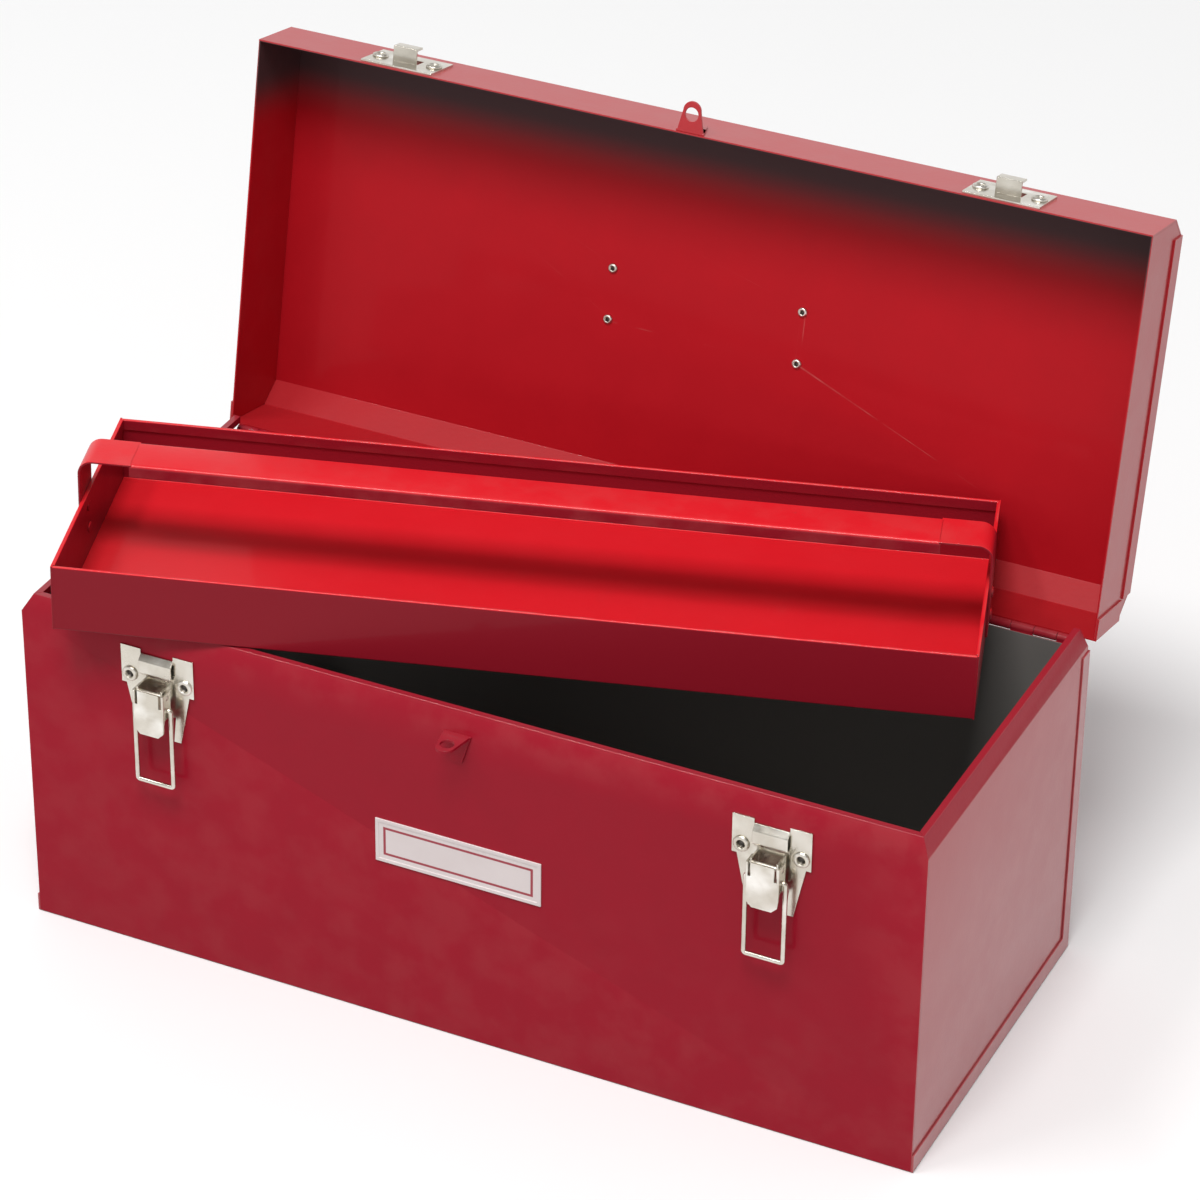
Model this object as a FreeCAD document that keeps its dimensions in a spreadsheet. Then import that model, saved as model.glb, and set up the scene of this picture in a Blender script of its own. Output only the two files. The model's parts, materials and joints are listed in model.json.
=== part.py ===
import FreeCAD, Part
import Sketcher
import math
import os

# Steel toolbox with a hinged lid, two draw latches and a lift-out tray.
# Millimetres. X runs along the box, Y to the back, Z up; the origin is the
# middle of the underside. The lid is drawn shut and then turned open about
# its hinge; the tray is drawn in its own frame and laid across the box.

os.makedirs("parts", exist_ok=True)
doc = FreeCAD.newDocument("toolbox")

values = {
    # body shell
    "body_length": 508.0, "body_width": 216.0, "shoulder_z": 189.0,
    "sheet": 1.0, "rim_z": 198.0, "rim_lean": 5.0, "rim_lip": 3.5,
    "rim_return": 4.0, "lean_low": 0.26, "lean_high": 0.59,
    "rear_z": 186.5, "foot_strip": 10.5, "rear_strip": 9.5,
    # lid shell, drawn shut
    "lid_over": 1.0, "lid_low_z": 190.5, "lid_wall_z": 227.0,
    "lid_top_z": 239.5, "lid_front": 11.0, "lid_rear": 12.0,
    "lid_in_wall": 0.39, "lid_in_front": 10.45, "lid_in_rear": 11.42,
    "open_angle": 101.5, "lid_strip": 12.0,
    # piano hinge
    "hinge_y": 110.4, "hinge_z": 188.0, "barrel_r": 2.4, "pin_r": 1.3,
    "bore_r": 1.35, "pitch": 12.7, "knuckle": 12.4, "knuckles": 39.0,
    "leaf": 0.9, "leaf_low_z": 172.0, "leaf_clear": 2.7,
    "leaf_high_z": 204.0, "tab_z": 189.6, "pin_over": 0.8,
    # draw latches
    "latch_x": 172.0, "plate": 1.2, "ear_half": 21.2, "ear_in": 9.5,
    "ear_low_z": 164.0, "notch_z": 184.0, "leg_top": 18.5,
    "leg_low": 12.5, "leg_z": 135.0, "leg_in_top": 10.0,
    "leg_in_low": 8.5, "web_z": 150.0, "bridge_low_z": 171.0,
    "bridge_out": 3.0, "lug_half": 7.5, "lug_thick": 1.0,
    "lug_low_z": 160.5, "lug_high_z": 169.5, "axis_out": 7.2,
    "axis_z": 165.0, "latch_pin_r": 1.2, "latch_pin_half": 9.0,
    "lever_bore_r": 1.27, "lever_half": 9.0, "lever_low_half": 8.3,
    "lever_drop": 23.0, "lever_rise": 3.0, "lever_web_y": 4.6,
    "lever_sheet": 1.0, "flange_drop": 12.0, "flange_deep": 3.0,
    "eye_drop": 7.5, "eye_bore_r": 1.36, "slot_half": 0.8,
    "slot_x": 7.0, "slot_low": 5.0, "slot_high": -4.0,
    "wire_r": 1.3, "loop_half": 10.6, "loop_stub": 7.8,
    "loop_drop": 47.0,
    # rivets
    "rivet_x": 16.0, "rivet_z": 170.0, "head_r": 4.4, "head_h": 1.5,
    "dish_r": 2.4, "dish_h": 1.0, "shank_r": 2.9, "hole_r": 2.95,
    "wide_tail_r": 3.6, "tail_r": 3.0, "tail_h": 0.9,
    # lid strikes, drawn shut
    "strike_half": 21.0, "strike_low_z": 192.0, "strike_high_z": 218.0,
    "strike_rivet_z": 205.0, "hook_half": 7.0, "hook_z": 201.7,
    "hook_out": 9.5, "hook_high_z": 208.5, "window_z": 210.5,
    # padlock eyes
    "eye_thick": 1.5, "eye_z": 186.0, "lid_eye_z": 191.0,
    "eye_root_half": 7.5, "eye_tip_r": 5.0, "eye_tip_y": 121.0,
    "eye_hole_r": 3.75, "eye_hole_y": 119.0, "weld_half": 8.0,
    "weld_tip": 3.0, "weld_h": 15.0, "weld_sheet": 1.2,
    # name plate
    "label_half": 47.0, "label_low_z": 97.0, "label_high_z": 123.0,
    "label_thick": 0.8, "label_field": 0.3, "label_edge": 2.0,
    # ledges the tray sits on when it is inside
    "rest_z": 150.0, "rest_deep": 26.0, "rest_high": 12.0,
    "rest_half": 90.0,
    # carry handle on the lid, drawn shut
    "bracket_in": 49.0, "bracket_sheet": 1.5, "bracket_out": 62.0,
    "bracket_front": 18.5, "bracket_back": 22.0, "swing_y": 1.7,
    "swing_high": 7.0, "ear_r": 6.0, "rod_r": 3.5, "rod_bore_r": 3.57,
    "rod_half": 45.0, "rod_end": 53.0, "rod_drop": 34.0,
    "grip_r": 8.5, "grip_half": 38.0, "grip_bore_r": 3.55,
    "handle_rivet_x": 55.5, "handle_rivet_front": 12.5,
    "handle_rivet_back": 16.3, "inner_head_r": 2.7, "inner_head_h": 1.2,
    "inner_shank_r": 2.0, "inner_hole_r": 2.05,
    # tray, in its own frame
    "tray_length": 470.0, "tray_depth": 157.5, "tray_high": 37.0,
    "hem": 6.0, "strap_width": 25.0, "strap_sheet": 1.2,
    "strap_z": 61.5, "strap_bend": 8.0, "strap_foot": 8.0,
    "strap_flange": 7.0, "strap_flange_in": 26.0,
    "tray_rivet_low": 15.0, "tray_rivet_high": 28.0,
    "tray_head_r": 3.2, "tray_head_h": 1.3, "tray_shank_r": 1.6,
    "tray_hole_r": 1.65,
    "tray_x": -219.5, "tray_y": -131.3, "tray_z": 200.0,
    "tray_yaw": 17.64, "tray_tilt": 0.9, "tray_roll": 0.45,
}
sheet = doc.addObject("Spreadsheet::Sheet", "dims")
for row, (word, number) in enumerate(values.items(), start=1):
    sheet.set("A%d" % row, word)
    sheet.set("B%d" % row, str(number))
    sheet.setAlias("B%d" % row, word)
doc.recompute()

half_length = "dims.body_length / 2"
half_width = "dims.body_width / 2"
wrap_end = "(dims.body_length / 2 - dims.sheet)"
lid_half = "(dims.body_width / 2 + dims.lid_over)"
knuckle_count = int(values["knuckles"])
latch_y = "(dims.body_width / 2 + dims.axis_out)"
plate_face = "(dims.body_width / 2 + dims.plate)"
subparts = []


# helpers

def bind(thing, prop, text):
    thing.setExpression(prop, text)


def place(thing, x, y, z):
    bind(thing, "Placement.Base.x", x)
    bind(thing, "Placement.Base.y", y)
    bind(thing, "Placement.Base.z", z)


def prism(name, role, outline, length, x="0", y="0", z="0"):
    # closed outline on one origin plane, padded half each way
    body = doc.addObject("PartDesign::Body", name)
    planes = [f for f in body.Origin.OriginFeatures if f.Role == role]
    sketch = body.newObject("Sketcher::SketchObject", name + "_outline")
    sketch.AttachmentSupport = (planes[0], [""])
    sketch.MapMode = "FlatFace"
    count = len(outline)
    guess = []
    for k in range(count):
        turn = 2 * math.pi * k / count
        guess.append(FreeCAD.Vector(50 * math.cos(turn), 50 * math.sin(turn), 0))
    for k in range(count):
        line = Part.LineSegment(guess[k], guess[(k + 1) % count])
        sketch.addGeometry(line, False)
    for k in range(count):
        joined = Sketcher.Constraint("Coincident", k, 2, (k + 1) % count, 1)
        sketch.addConstraint(joined)
    for k, (across, up) in enumerate(outline):
        where = Sketcher.Constraint("DistanceX", -1, 1, k, 1, guess[k].x)
        index = sketch.addConstraint(where)
        bind(sketch, "Constraints[%d]" % index, across)
        where = Sketcher.Constraint("DistanceY", -1, 1, k, 1, guess[k].y)
        index = sketch.addConstraint(where)
        bind(sketch, "Constraints[%d]" % index, up)
    pad = body.newObject("PartDesign::Pad", name + "_pad")
    pad.Profile = sketch
    pad.Midplane = True
    bind(pad, "Length", length)
    sketch.Visibility = False
    place(body, x, y, z)
    return body


def box(name, x, y, z, dx, dy, dz):
    block = doc.addObject("Part::Box", name)
    bind(block, "Length", dx)
    bind(block, "Width", dy)
    bind(block, "Height", dz)
    place(block, x, y, z)
    return block


def rod(name, axis, x, y, z, radius, length):
    # cylinder starting at x, y, z and running along +axis
    turns = {
        "x": FreeCAD.Rotation(FreeCAD.Vector(0, 1, 0), 90),
        "y": FreeCAD.Rotation(FreeCAD.Vector(1, 0, 0), -90),
        "z": FreeCAD.Rotation(),
    }
    bar = doc.addObject("Part::Cylinder", name)
    bar.Placement = FreeCAD.Placement(FreeCAD.Vector(), turns[axis])
    bind(bar, "Radius", radius)
    bind(bar, "Height", length)
    place(bar, x, y, z)
    return bar


def ball(name, x, y, z, radius):
    knob = doc.addObject("Part::Sphere", name)
    bind(knob, "Radius", radius)
    place(knob, x, y, z)
    return knob


def fuse(name, pieces):
    joined = doc.addObject("Part::MultiFuse", name)
    joined.Shapes = pieces
    joined.Refine = True
    return joined


def cut(name, base, tools):
    tool = tools[0]
    if len(tools) > 1:
        tool = doc.addObject("Part::Compound", name + "_tools")
        tool.Links = tools
    left = doc.addObject("Part::Cut", name)
    left.Base = base
    left.Tool = tool
    return left


def group(name, pieces):
    several = doc.addObject("Part::Compound", name)
    several.Links = pieces
    return several


def mirror(name, source):
    other = doc.addObject("Part::Mirroring", name)
    other.Source = source
    other.Base = FreeCAD.Vector(0, 0, 0)
    other.Normal = FreeCAD.Vector(1, 0, 0)
    return other


def node(label, thing, placement=None):
    thing.Label = label
    if placement is not None:
        thing.Placement = placement
    subparts.append(thing)
    return thing


# body shell

def rim_path(edge):
    # outside and inside of a wall top that leans in and turns down
    lip = "%s + dims.rim_lean + dims.rim_lip" % edge
    outside = [
        (lip, "dims.rim_z - dims.rim_return"),
        (lip, "dims.rim_z"),
        ("%s + dims.rim_lean" % edge, "dims.rim_z"),
        (edge, "dims.shoulder_z"),
    ]
    inside = [
        ("%s + dims.sheet" % edge, "dims.shoulder_z - dims.lean_low"),
        ("%s + dims.rim_lean + dims.lean_high" % edge, "dims.rim_z - dims.sheet"),
        (lip + " - dims.sheet", "dims.rim_z - dims.sheet"),
        (lip + " - dims.sheet", "dims.rim_z - dims.rim_return"),
    ]
    return outside, inside


front = "-" + half_width
rim_out, rim_in = rim_path(front)
wrap_outline = rim_out + [
    (front, "0"),
    (half_width, "0"),
    (half_width, "dims.rear_z"),
    (half_width + " - dims.sheet", "dims.rear_z"),
    (half_width + " - dims.sheet", "dims.sheet"),
    (front + " + dims.sheet", "dims.sheet"),
] + rim_in
wrap = prism("wrap", "YZ_Plane", wrap_outline, "2 * " + wrap_end)

mitre_front = [
    (wrap_end, front),
    (wrap_end + " + 2", front),
    (wrap_end + " + 2", front + " + 12"),
    (wrap_end + " - 12", front + " + 12"),
]
mitre_end = [
    (wrap_end, front),
    (wrap_end + " - 12", front + " + 12"),
    (wrap_end + " - 14", front),
]
mitre_wrap = prism("mitre_wrap", "XY_Plane", mitre_front, "12",
                   z="dims.shoulder_z + 6")
mitre_wrap_left = mirror("mitre_wrap_left", mitre_wrap)
mitre_panel = prism("mitre_panel", "XY_Plane", mitre_end, "12",
                    z="dims.shoulder_z + 6")

wall_holes = []
for side in (-1, 1):
    for hand in (-1, 1):
        wall_holes.append(rod(
            "wall_hole_%d" % len(wall_holes), "y",
            "%d * dims.latch_x + %d * dims.rivet_x" % (side, hand),
            front + " - 2", "dims.rivet_z", "dims.hole_r", "5"))
node("body_wrap", cut("wrap_cut", wrap,
                      [mitre_wrap, mitre_wrap_left] + wall_holes))

# edging along the bottom and back of each end
strips = [
    box("foot_strip", wrap_end, front, "0", "dims.sheet", "dims.body_width",
        "dims.foot_strip"),
    box("rear_strip", wrap_end, half_width + " - dims.rear_strip", "0",
        "dims.sheet", "dims.rear_strip", "dims.rear_z"),
]
edging = fuse("edging", strips)
node("edge_strip_right", edging)
node("edge_strip_left", mirror("edging_left", edging))

end_out, end_in = rim_path("-" + wrap_end)
panel_outline = end_out + [
    ("-" + wrap_end, "dims.sheet"),
    ("-" + wrap_end + " + dims.sheet", "dims.sheet"),
] + end_in
panel_blank = prism("panel_blank", "XZ_Plane", panel_outline,
                    "dims.body_width - dims.sheet", y="-dims.sheet / 2")
panel_front = box("panel_front", "-" + half_length, front + " - 1", "0",
                  "dims.rim_lean", "1 + dims.sheet", "dims.shoulder_z")
mitre_panel_left = mirror("mitre_panel_left", mitre_panel)
panel_left = cut("panel_left", panel_blank, [panel_front, mitre_panel_left])
node("end_panel_left", panel_left)
node("end_panel_right", mirror("panel_right", panel_left))

# ledges for the tray

ledge_wall = "(dims.body_length / 2 - 2 * dims.sheet)"
ledge_outline = [
    (ledge_wall, "dims.rest_z"),
    (ledge_wall + " - dims.rest_deep", "dims.rest_z"),
    (ledge_wall + " - dims.rest_deep", "dims.rest_z - dims.sheet"),
    (ledge_wall + " - dims.sheet", "dims.rest_z - dims.sheet"),
    (ledge_wall + " - dims.sheet", "dims.rest_z - dims.rest_high"),
    (ledge_wall, "dims.rest_z - dims.rest_high"),
]
ledge = prism("ledge", "XZ_Plane", ledge_outline, "2 * dims.rest_half")
node("tray_rest_right", ledge)
node("tray_rest_left", mirror("ledge_left", ledge))

# name plate

label_blank = box("label_blank", "-dims.label_half",
                  front + " - dims.label_thick", "dims.label_low_z",
                  "2 * dims.label_half", "dims.label_thick",
                  "dims.label_high_z - dims.label_low_z")
label_field = box("label_field", "-dims.label_half + dims.label_edge",
                  front + " - dims.label_thick - 1",
                  "dims.label_low_z + dims.label_edge",
                  "2 * dims.label_half - 2 * dims.label_edge",
                  "1 + dims.label_field",
                  "dims.label_high_z - dims.label_low_z - 2 * dims.label_edge")
node("name_plate", cut("label_cut", label_blank, [label_field]))

# lid shell, drawn shut

lid_turn = FreeCAD.Placement(
    FreeCAD.Vector(),
    FreeCAD.Rotation(FreeCAD.Vector(1, 0, 0), -values["open_angle"]),
    FreeCAD.Vector(0, values["hinge_y"], values["hinge_z"]))

lid_outside = [
    ("-" + lid_half, "dims.lid_low_z"),
    ("-" + lid_half, "dims.lid_wall_z"),
    ("-" + lid_half + " + dims.lid_front", "dims.lid_top_z"),
    (lid_half + " - dims.lid_rear", "dims.lid_top_z"),
    (lid_half, "dims.lid_wall_z"),
    (lid_half, "dims.lid_low_z"),
]
lid_inside = [
    (half_width, "dims.lid_low_z"),
    (half_width, "dims.lid_wall_z - dims.lid_in_wall"),
    (half_width + " - dims.lid_in_rear", "dims.lid_top_z - dims.sheet"),
    (front + " + dims.lid_in_front", "dims.lid_top_z - dims.sheet"),
    (front, "dims.lid_wall_z - dims.lid_in_wall"),
    (front, "dims.lid_low_z"),
]
lid_wrap = prism("lid_wrap", "YZ_Plane", lid_outside + lid_inside,
                 "dims.body_length")
lid_strips = []
for side, start in (("right", half_length),
                    ("left", "-%s - dims.lid_over" % half_length)):
    lid_strips.append(box(
        "lid_top_strip_" + side, start,
        "-" + lid_half + " + dims.lid_front",
        "dims.lid_top_z - dims.lid_strip", "dims.lid_over",
        "2 * %s - dims.lid_front - dims.lid_rear" % lid_half,
        "dims.lid_strip"))
    lid_strips.append(box(
        "lid_rear_strip_" + side, start, lid_half + " - dims.lid_strip",
        "dims.lid_low_z", "dims.lid_over", "dims.lid_strip",
        "dims.lid_wall_z - dims.lid_low_z - 1"))
lid_flanged = fuse("lid_flanged", [lid_wrap] + lid_strips)

lid_holes = []
for side in (-1, 1):
    for hand in (-1, 1):
        lid_holes.append(rod(
            "lid_hole_%d" % len(lid_holes), "y",
            "%d * dims.latch_x + %d * dims.rivet_x" % (side, hand),
            "-%s - 2" % lid_half, "dims.strike_rivet_z", "dims.hole_r", "5"))
    for spot in ("-dims.handle_rivet_front", "dims.handle_rivet_back"):
        lid_holes.append(rod(
            "lid_hole_%d" % len(lid_holes), "z",
            "%d * dims.handle_rivet_x" % side, spot,
            "dims.lid_top_z - 3", "dims.inner_hole_r", "5"))
node("lid_shell", cut("lid_cut", lid_flanged, lid_holes), lid_turn)

lid_panel = prism("lid_panel", "YZ_Plane", lid_inside, "dims.sheet",
                  x=half_length + " - dims.sheet / 2")
lid_panel_left = mirror("lid_panel_left", lid_panel)
lid_panel_right = group("lid_panel_right", [lid_panel])
node("lid_end_right", lid_panel_right, lid_turn)
node("lid_end_left", lid_panel_left, lid_turn)

# piano hinge

hinge_span = "(dims.knuckles * dims.pitch)"
body_leaf = [box("leaf_plate_body", "-%s / 2" % hinge_span, half_width,
                 "dims.leaf_low_z", hinge_span, "dims.leaf",
                 "dims.hinge_z - dims.leaf_clear - dims.leaf_low_z")]
lid_leaf = [box("leaf_plate_lid", "-%s / 2" % hinge_span, lid_half,
                "dims.hinge_z + dims.leaf_clear", hinge_span, "dims.leaf",
                "dims.leaf_high_z - dims.hinge_z - dims.leaf_clear")]
for k in range(knuckle_count):
    start = "(%d - dims.knuckles / 2) * dims.pitch + (dims.pitch - dims.knuckle) / 2" % k
    barrel = rod("barrel_%d" % k, "x", start, "dims.hinge_y", "dims.hinge_z",
                 "dims.barrel_r", "dims.knuckle")
    if k % 2 == 0:
        body_leaf.append(barrel)
        body_leaf.append(box(
            "tab_%d" % k, start, half_width,
            "dims.hinge_z - dims.leaf_clear", "dims.knuckle", "dims.leaf",
            "dims.leaf_clear"))
    else:
        lid_leaf.append(barrel)
        lid_leaf.append(box(
            "tab_%d" % k, start, lid_half, "dims.tab_z", "dims.knuckle",
            "dims.leaf", "dims.hinge_z + dims.leaf_clear - dims.tab_z"))
body_bore = rod("body_bore", "x", "-%s / 2 - 2" % hinge_span, "dims.hinge_y",
                "dims.hinge_z", "dims.pin_r", hinge_span + " + 4")
lid_bore = rod("lid_bore", "x", "-%s / 2 - 2" % hinge_span, "dims.hinge_y",
               "dims.hinge_z", "dims.bore_r", hinge_span + " + 4")
node("hinge_leaf_body",
     cut("leaf_body", fuse("leaf_body_blank", body_leaf), [body_bore]))
node("hinge_leaf_lid",
     cut("leaf_lid", fuse("leaf_lid_blank", lid_leaf), [lid_bore]), lid_turn)
node("hinge_pin", rod("pin", "x", "-%s / 2 - dims.pin_over" % hinge_span,
                      "dims.hinge_y", "dims.hinge_z", "dims.pin_r",
                      hinge_span + " + 2 * dims.pin_over"))


# rivets

def rivet(name, axis, x, y, z, grip, head_r, head_h, shank_r, dish,
          tail_r="dims.tail_r"):
    # head at x, y, z facing -axis, tail upset on the far side of the grip
    steps = {"x": (1, 0, 0), "y": (0, 1, 0), "z": (0, 0, 1)}[axis]

    def along(distance):
        spots = []
        for text, step in zip((x, y, z), steps):
            spots.append("%s + (%s)" % (text, distance) if step else text)
        return spots

    head = rod(name + "_head", axis, *along("-(%s)" % head_h), head_r, head_h)
    shank = rod(name + "_shank", axis, *along("0"), shank_r, grip)
    tail = rod(name + "_tail", axis, *along(grip), tail_r, "dims.tail_h")
    body = fuse(name + "_body", [head, shank, tail])
    if not dish:
        return body
    hollow = rod(name + "_hollow", axis, *along("-(%s) - 1" % head_h),
                 "dims.dish_r", "dims.dish_h + 1")
    return cut(name, body, [hollow])


# draw latch on the body, right-hand one

plate_half_outline = [
    ("dims.latch_x + dims.ear_in", "dims.notch_z"),
    ("dims.latch_x + dims.ear_in", "dims.rear_z"),
    ("dims.latch_x + dims.ear_half", "dims.rear_z"),
    ("dims.latch_x + dims.ear_half", "dims.ear_low_z"),
    ("dims.latch_x + dims.leg_top", "dims.ear_low_z"),
    ("dims.latch_x + dims.leg_low", "dims.leg_z"),
    ("dims.latch_x + dims.leg_in_low", "dims.leg_z"),
    ("dims.latch_x + dims.leg_in_top", "dims.web_z"),
    ("dims.latch_x - dims.leg_in_top", "dims.web_z"),
    ("dims.latch_x - dims.leg_in_low", "dims.leg_z"),
    ("dims.latch_x - dims.leg_low", "dims.leg_z"),
    ("dims.latch_x - dims.leg_top", "dims.ear_low_z"),
    ("dims.latch_x - dims.ear_half", "dims.ear_low_z"),
    ("dims.latch_x - dims.ear_half", "dims.rear_z"),
    ("dims.latch_x - dims.ear_in", "dims.rear_z"),
    ("dims.latch_x - dims.ear_in", "dims.notch_z"),
]
plate_blank = prism("plate_blank", "XZ_Plane", plate_half_outline,
                    "dims.plate", y="-(%s + dims.plate / 2)" % half_width)
bridge_out = "-(%s + dims.bridge_out)" % plate_face
bridge_in = "-(%s + dims.bridge_out - dims.plate)" % plate_face
bridge = prism("bridge", "YZ_Plane", [
    ("-" + plate_face, "dims.bridge_low_z"),
    (bridge_out, "dims.bridge_low_z + dims.bridge_out"),
    (bridge_out, "dims.notch_z - dims.bridge_out"),
    ("-" + plate_face, "dims.notch_z"),
    ("-" + plate_face, "dims.notch_z - 1.5 * dims.plate"),
    (bridge_in, "dims.notch_z - dims.bridge_out - 0.5 * dims.plate"),
    (bridge_in, "dims.bridge_low_z + dims.bridge_out + 0.5 * dims.plate"),
    ("-" + plate_face, "dims.bridge_low_z + 1.5 * dims.plate"),
], "2 * dims.ear_in", x="dims.latch_x")
lugs = []
for hand, inner in (("a", "dims.latch_x + dims.lug_half - dims.lug_thick"),
                    ("b", "dims.latch_x - dims.lug_half")):
    lugs.append(box(
        "lug_" + hand, inner, "-(%s + 2.8)" % latch_y, "dims.lug_low_z",
        "dims.lug_thick", "%s + 2.8 - %s" % (latch_y, plate_face),
        "dims.lug_high_z - dims.lug_low_z"))
plate_holes = [rod("lug_bore", "x", "dims.latch_x - 15", "-" + latch_y,
                   "dims.axis_z", "dims.latch_pin_r", "30")]
for hand in (-1, 1):
    plate_holes.append(rod(
        "plate_hole_%d" % len(plate_holes), "y",
        "dims.latch_x + %d * dims.rivet_x" % hand, "-%s - 1" % plate_face,
        "dims.rivet_z", "dims.hole_r", "4"))
plate_right = cut("plate_right",
                  fuse("plate_joined", [plate_blank, bridge] + lugs),
                  plate_holes)
node("latch_plate_right", plate_right)
node("latch_plate_left", mirror("plate_left", plate_right))

body_rivets = []
strike_rivets = []
for hand in (-1, 1):
    spot = "dims.latch_x + %d * dims.rivet_x" % hand
    body_rivets.append(rivet(
        "body_rivet_%d" % len(body_rivets), "y", spot, "-" + plate_face,
        "dims.rivet_z", "(dims.plate + dims.sheet)", "dims.head_r",
        "dims.head_h", "dims.shank_r", True, "dims.wide_tail_r"))
    strike_rivets.append(rivet(
        "strike_rivet_%d" % len(strike_rivets), "y", spot,
        "-(%s + dims.plate)" % lid_half, "dims.strike_rivet_z",
        "(dims.plate + dims.sheet)", "dims.head_r", "dims.head_h",
        "dims.shank_r", True, "dims.wide_tail_r"))
rivets_right = group("rivets_right", body_rivets)
node("latch_rivets_right", rivets_right)
node("latch_rivets_left", mirror("rivets_left", rivets_right))

latch_pin = rod("latch_pin", "x", "dims.latch_x - dims.latch_pin_half",
                "-" + latch_y, "dims.axis_z", "dims.latch_pin_r",
                "2 * dims.latch_pin_half")
node("latch_pin_right", latch_pin)
node("latch_pin_left", mirror("latch_pin_other", latch_pin))

# lever

lever_out = "(%s + dims.lever_web_y)" % latch_y
lever_low = "dims.axis_z - dims.lever_drop"
lever_outline = [
    ("dims.latch_x + dims.lever_half", "dims.axis_z + dims.lever_rise"),
    ("dims.latch_x + dims.lever_half", "dims.axis_z - dims.flange_drop"),
    ("dims.latch_x + dims.lever_low_half", lever_low + " + 3"),
    ("dims.latch_x + dims.lever_low_half - 3", lever_low),
    ("dims.latch_x - dims.lever_low_half + 3", lever_low),
    ("dims.latch_x - dims.lever_low_half", lever_low + " + 3"),
    ("dims.latch_x - dims.lever_half", "dims.axis_z - dims.flange_drop"),
    ("dims.latch_x - dims.lever_half", "dims.axis_z + dims.lever_rise"),
]
lever_web = prism("lever_web", "XZ_Plane", lever_outline, "dims.lever_sheet",
                  y="-(%s - dims.lever_sheet / 2)" % lever_out)
lever_flanges = []
for hand, inner in (("a", "dims.latch_x + dims.lever_half - dims.lever_sheet"),
                    ("b", "dims.latch_x - dims.lever_half")):
    lever_flanges.append(box(
        "lever_flange_" + hand, inner, "-(%s - 0.5)" % lever_out,
        "dims.axis_z - dims.flange_drop", "dims.lever_sheet",
        "dims.lever_web_y - 0.5 + dims.flange_deep",
        "dims.flange_drop + dims.lever_rise"))
lever_holes = [
    rod("lever_bore", "x", "dims.latch_x - 15", "-" + latch_y,
        "dims.axis_z", "dims.lever_bore_r", "30"),
    rod("lever_eye", "x", "dims.latch_x - 15", "-" + latch_y,
        "dims.axis_z - dims.eye_drop", "dims.eye_bore_r", "30"),
]
for hand in (-1, 1):
    lever_holes.append(box(
        "lever_slot_%d" % len(lever_holes),
        "dims.latch_x + %d * dims.slot_x - dims.slot_half" % hand,
        "-%s - 1" % lever_out, "dims.axis_z - dims.slot_low",
        "2 * dims.slot_half", "dims.lever_sheet + 2",
        "dims.slot_low - dims.slot_high"))
lever = cut("lever", fuse("lever_blank", [lever_web] + lever_flanges),
            lever_holes)
node("latch_lever_right", lever)
node("latch_lever_left", mirror("lever_other", lever))

# wire loop

loop_top = "(dims.axis_z - dims.eye_drop)"
loop_low = "(dims.axis_z - dims.eye_drop - dims.loop_drop)"
loop_pieces = [
    rod("loop_bar", "x", "dims.latch_x - dims.loop_half", "-" + latch_y,
        loop_low, "dims.wire_r", "2 * dims.loop_half"),
]
for hand, sign in (("a", "+"), ("b", "-")):
    leg_x = "dims.latch_x %s dims.loop_half" % sign
    loop_pieces.append(rod("loop_leg_" + hand, "z", leg_x, "-" + latch_y,
                           loop_low, "dims.wire_r", "dims.loop_drop"))
    loop_pieces.append(ball("loop_foot_" + hand, leg_x, "-" + latch_y,
                            loop_low, "dims.wire_r"))
    loop_pieces.append(ball("loop_turn_" + hand, leg_x, "-" + latch_y,
                            loop_top, "dims.wire_r"))
stub_long = "dims.loop_half - dims.loop_stub"
loop_pieces.append(rod("loop_stub_a", "x", "dims.latch_x + dims.loop_stub",
                       "-" + latch_y, loop_top, "dims.wire_r", stub_long))
loop_pieces.append(rod("loop_stub_b", "x", "dims.latch_x - dims.loop_half",
                       "-" + latch_y, loop_top, "dims.wire_r", stub_long))
loop = fuse("loop", loop_pieces)
node("latch_loop_right", loop)
node("latch_loop_left", mirror("loop_other", loop))

# strikes on the lid, drawn shut

strike_face = "(%s + dims.plate)" % lid_half
strike_plate = box(
    "strike_plate", "dims.latch_x - dims.strike_half", "-" + strike_face,
    "dims.strike_low_z", "2 * dims.strike_half", "dims.plate",
    "dims.strike_high_z - dims.strike_low_z")
strike_holes = [box(
    "strike_window", "dims.latch_x - dims.hook_half - 0.4",
    "-%s - 1" % strike_face, "dims.hook_z + dims.plate",
    "2 * dims.hook_half + 0.8", "dims.plate + 2",
    "dims.window_z - dims.hook_z - dims.plate")]
for hand in (-1, 1):
    strike_holes.append(rod(
        "strike_hole_%d" % len(strike_holes), "y",
        "dims.latch_x + %d * dims.rivet_x" % hand, "-%s - 1" % strike_face,
        "dims.strike_rivet_z", "dims.hole_r", "4"))
hook_tip = "-(%s + dims.hook_out)" % lid_half
hook = prism("hook", "YZ_Plane", [
    ("-" + lid_half, "dims.hook_z"),
    (hook_tip, "dims.hook_z"),
    (hook_tip, "dims.hook_high_z"),
    (hook_tip + " + dims.plate", "dims.hook_high_z"),
    (hook_tip + " + dims.plate", "dims.hook_z + dims.plate"),
    ("-" + lid_half, "dims.hook_z + dims.plate"),
], "2 * dims.hook_half", x="dims.latch_x")
strike = fuse("strike", [cut("strike_cut", strike_plate, strike_holes), hook])
strike_right = group("strike_right", [strike])
node("lid_strike_right", strike_right, lid_turn)
node("lid_strike_left", mirror("strike_left", strike), lid_turn)
strike_rivets_shut = group("strike_rivets_shut", strike_rivets)
strike_rivets_right = group("strike_rivets_here", [strike_rivets_shut])
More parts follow.
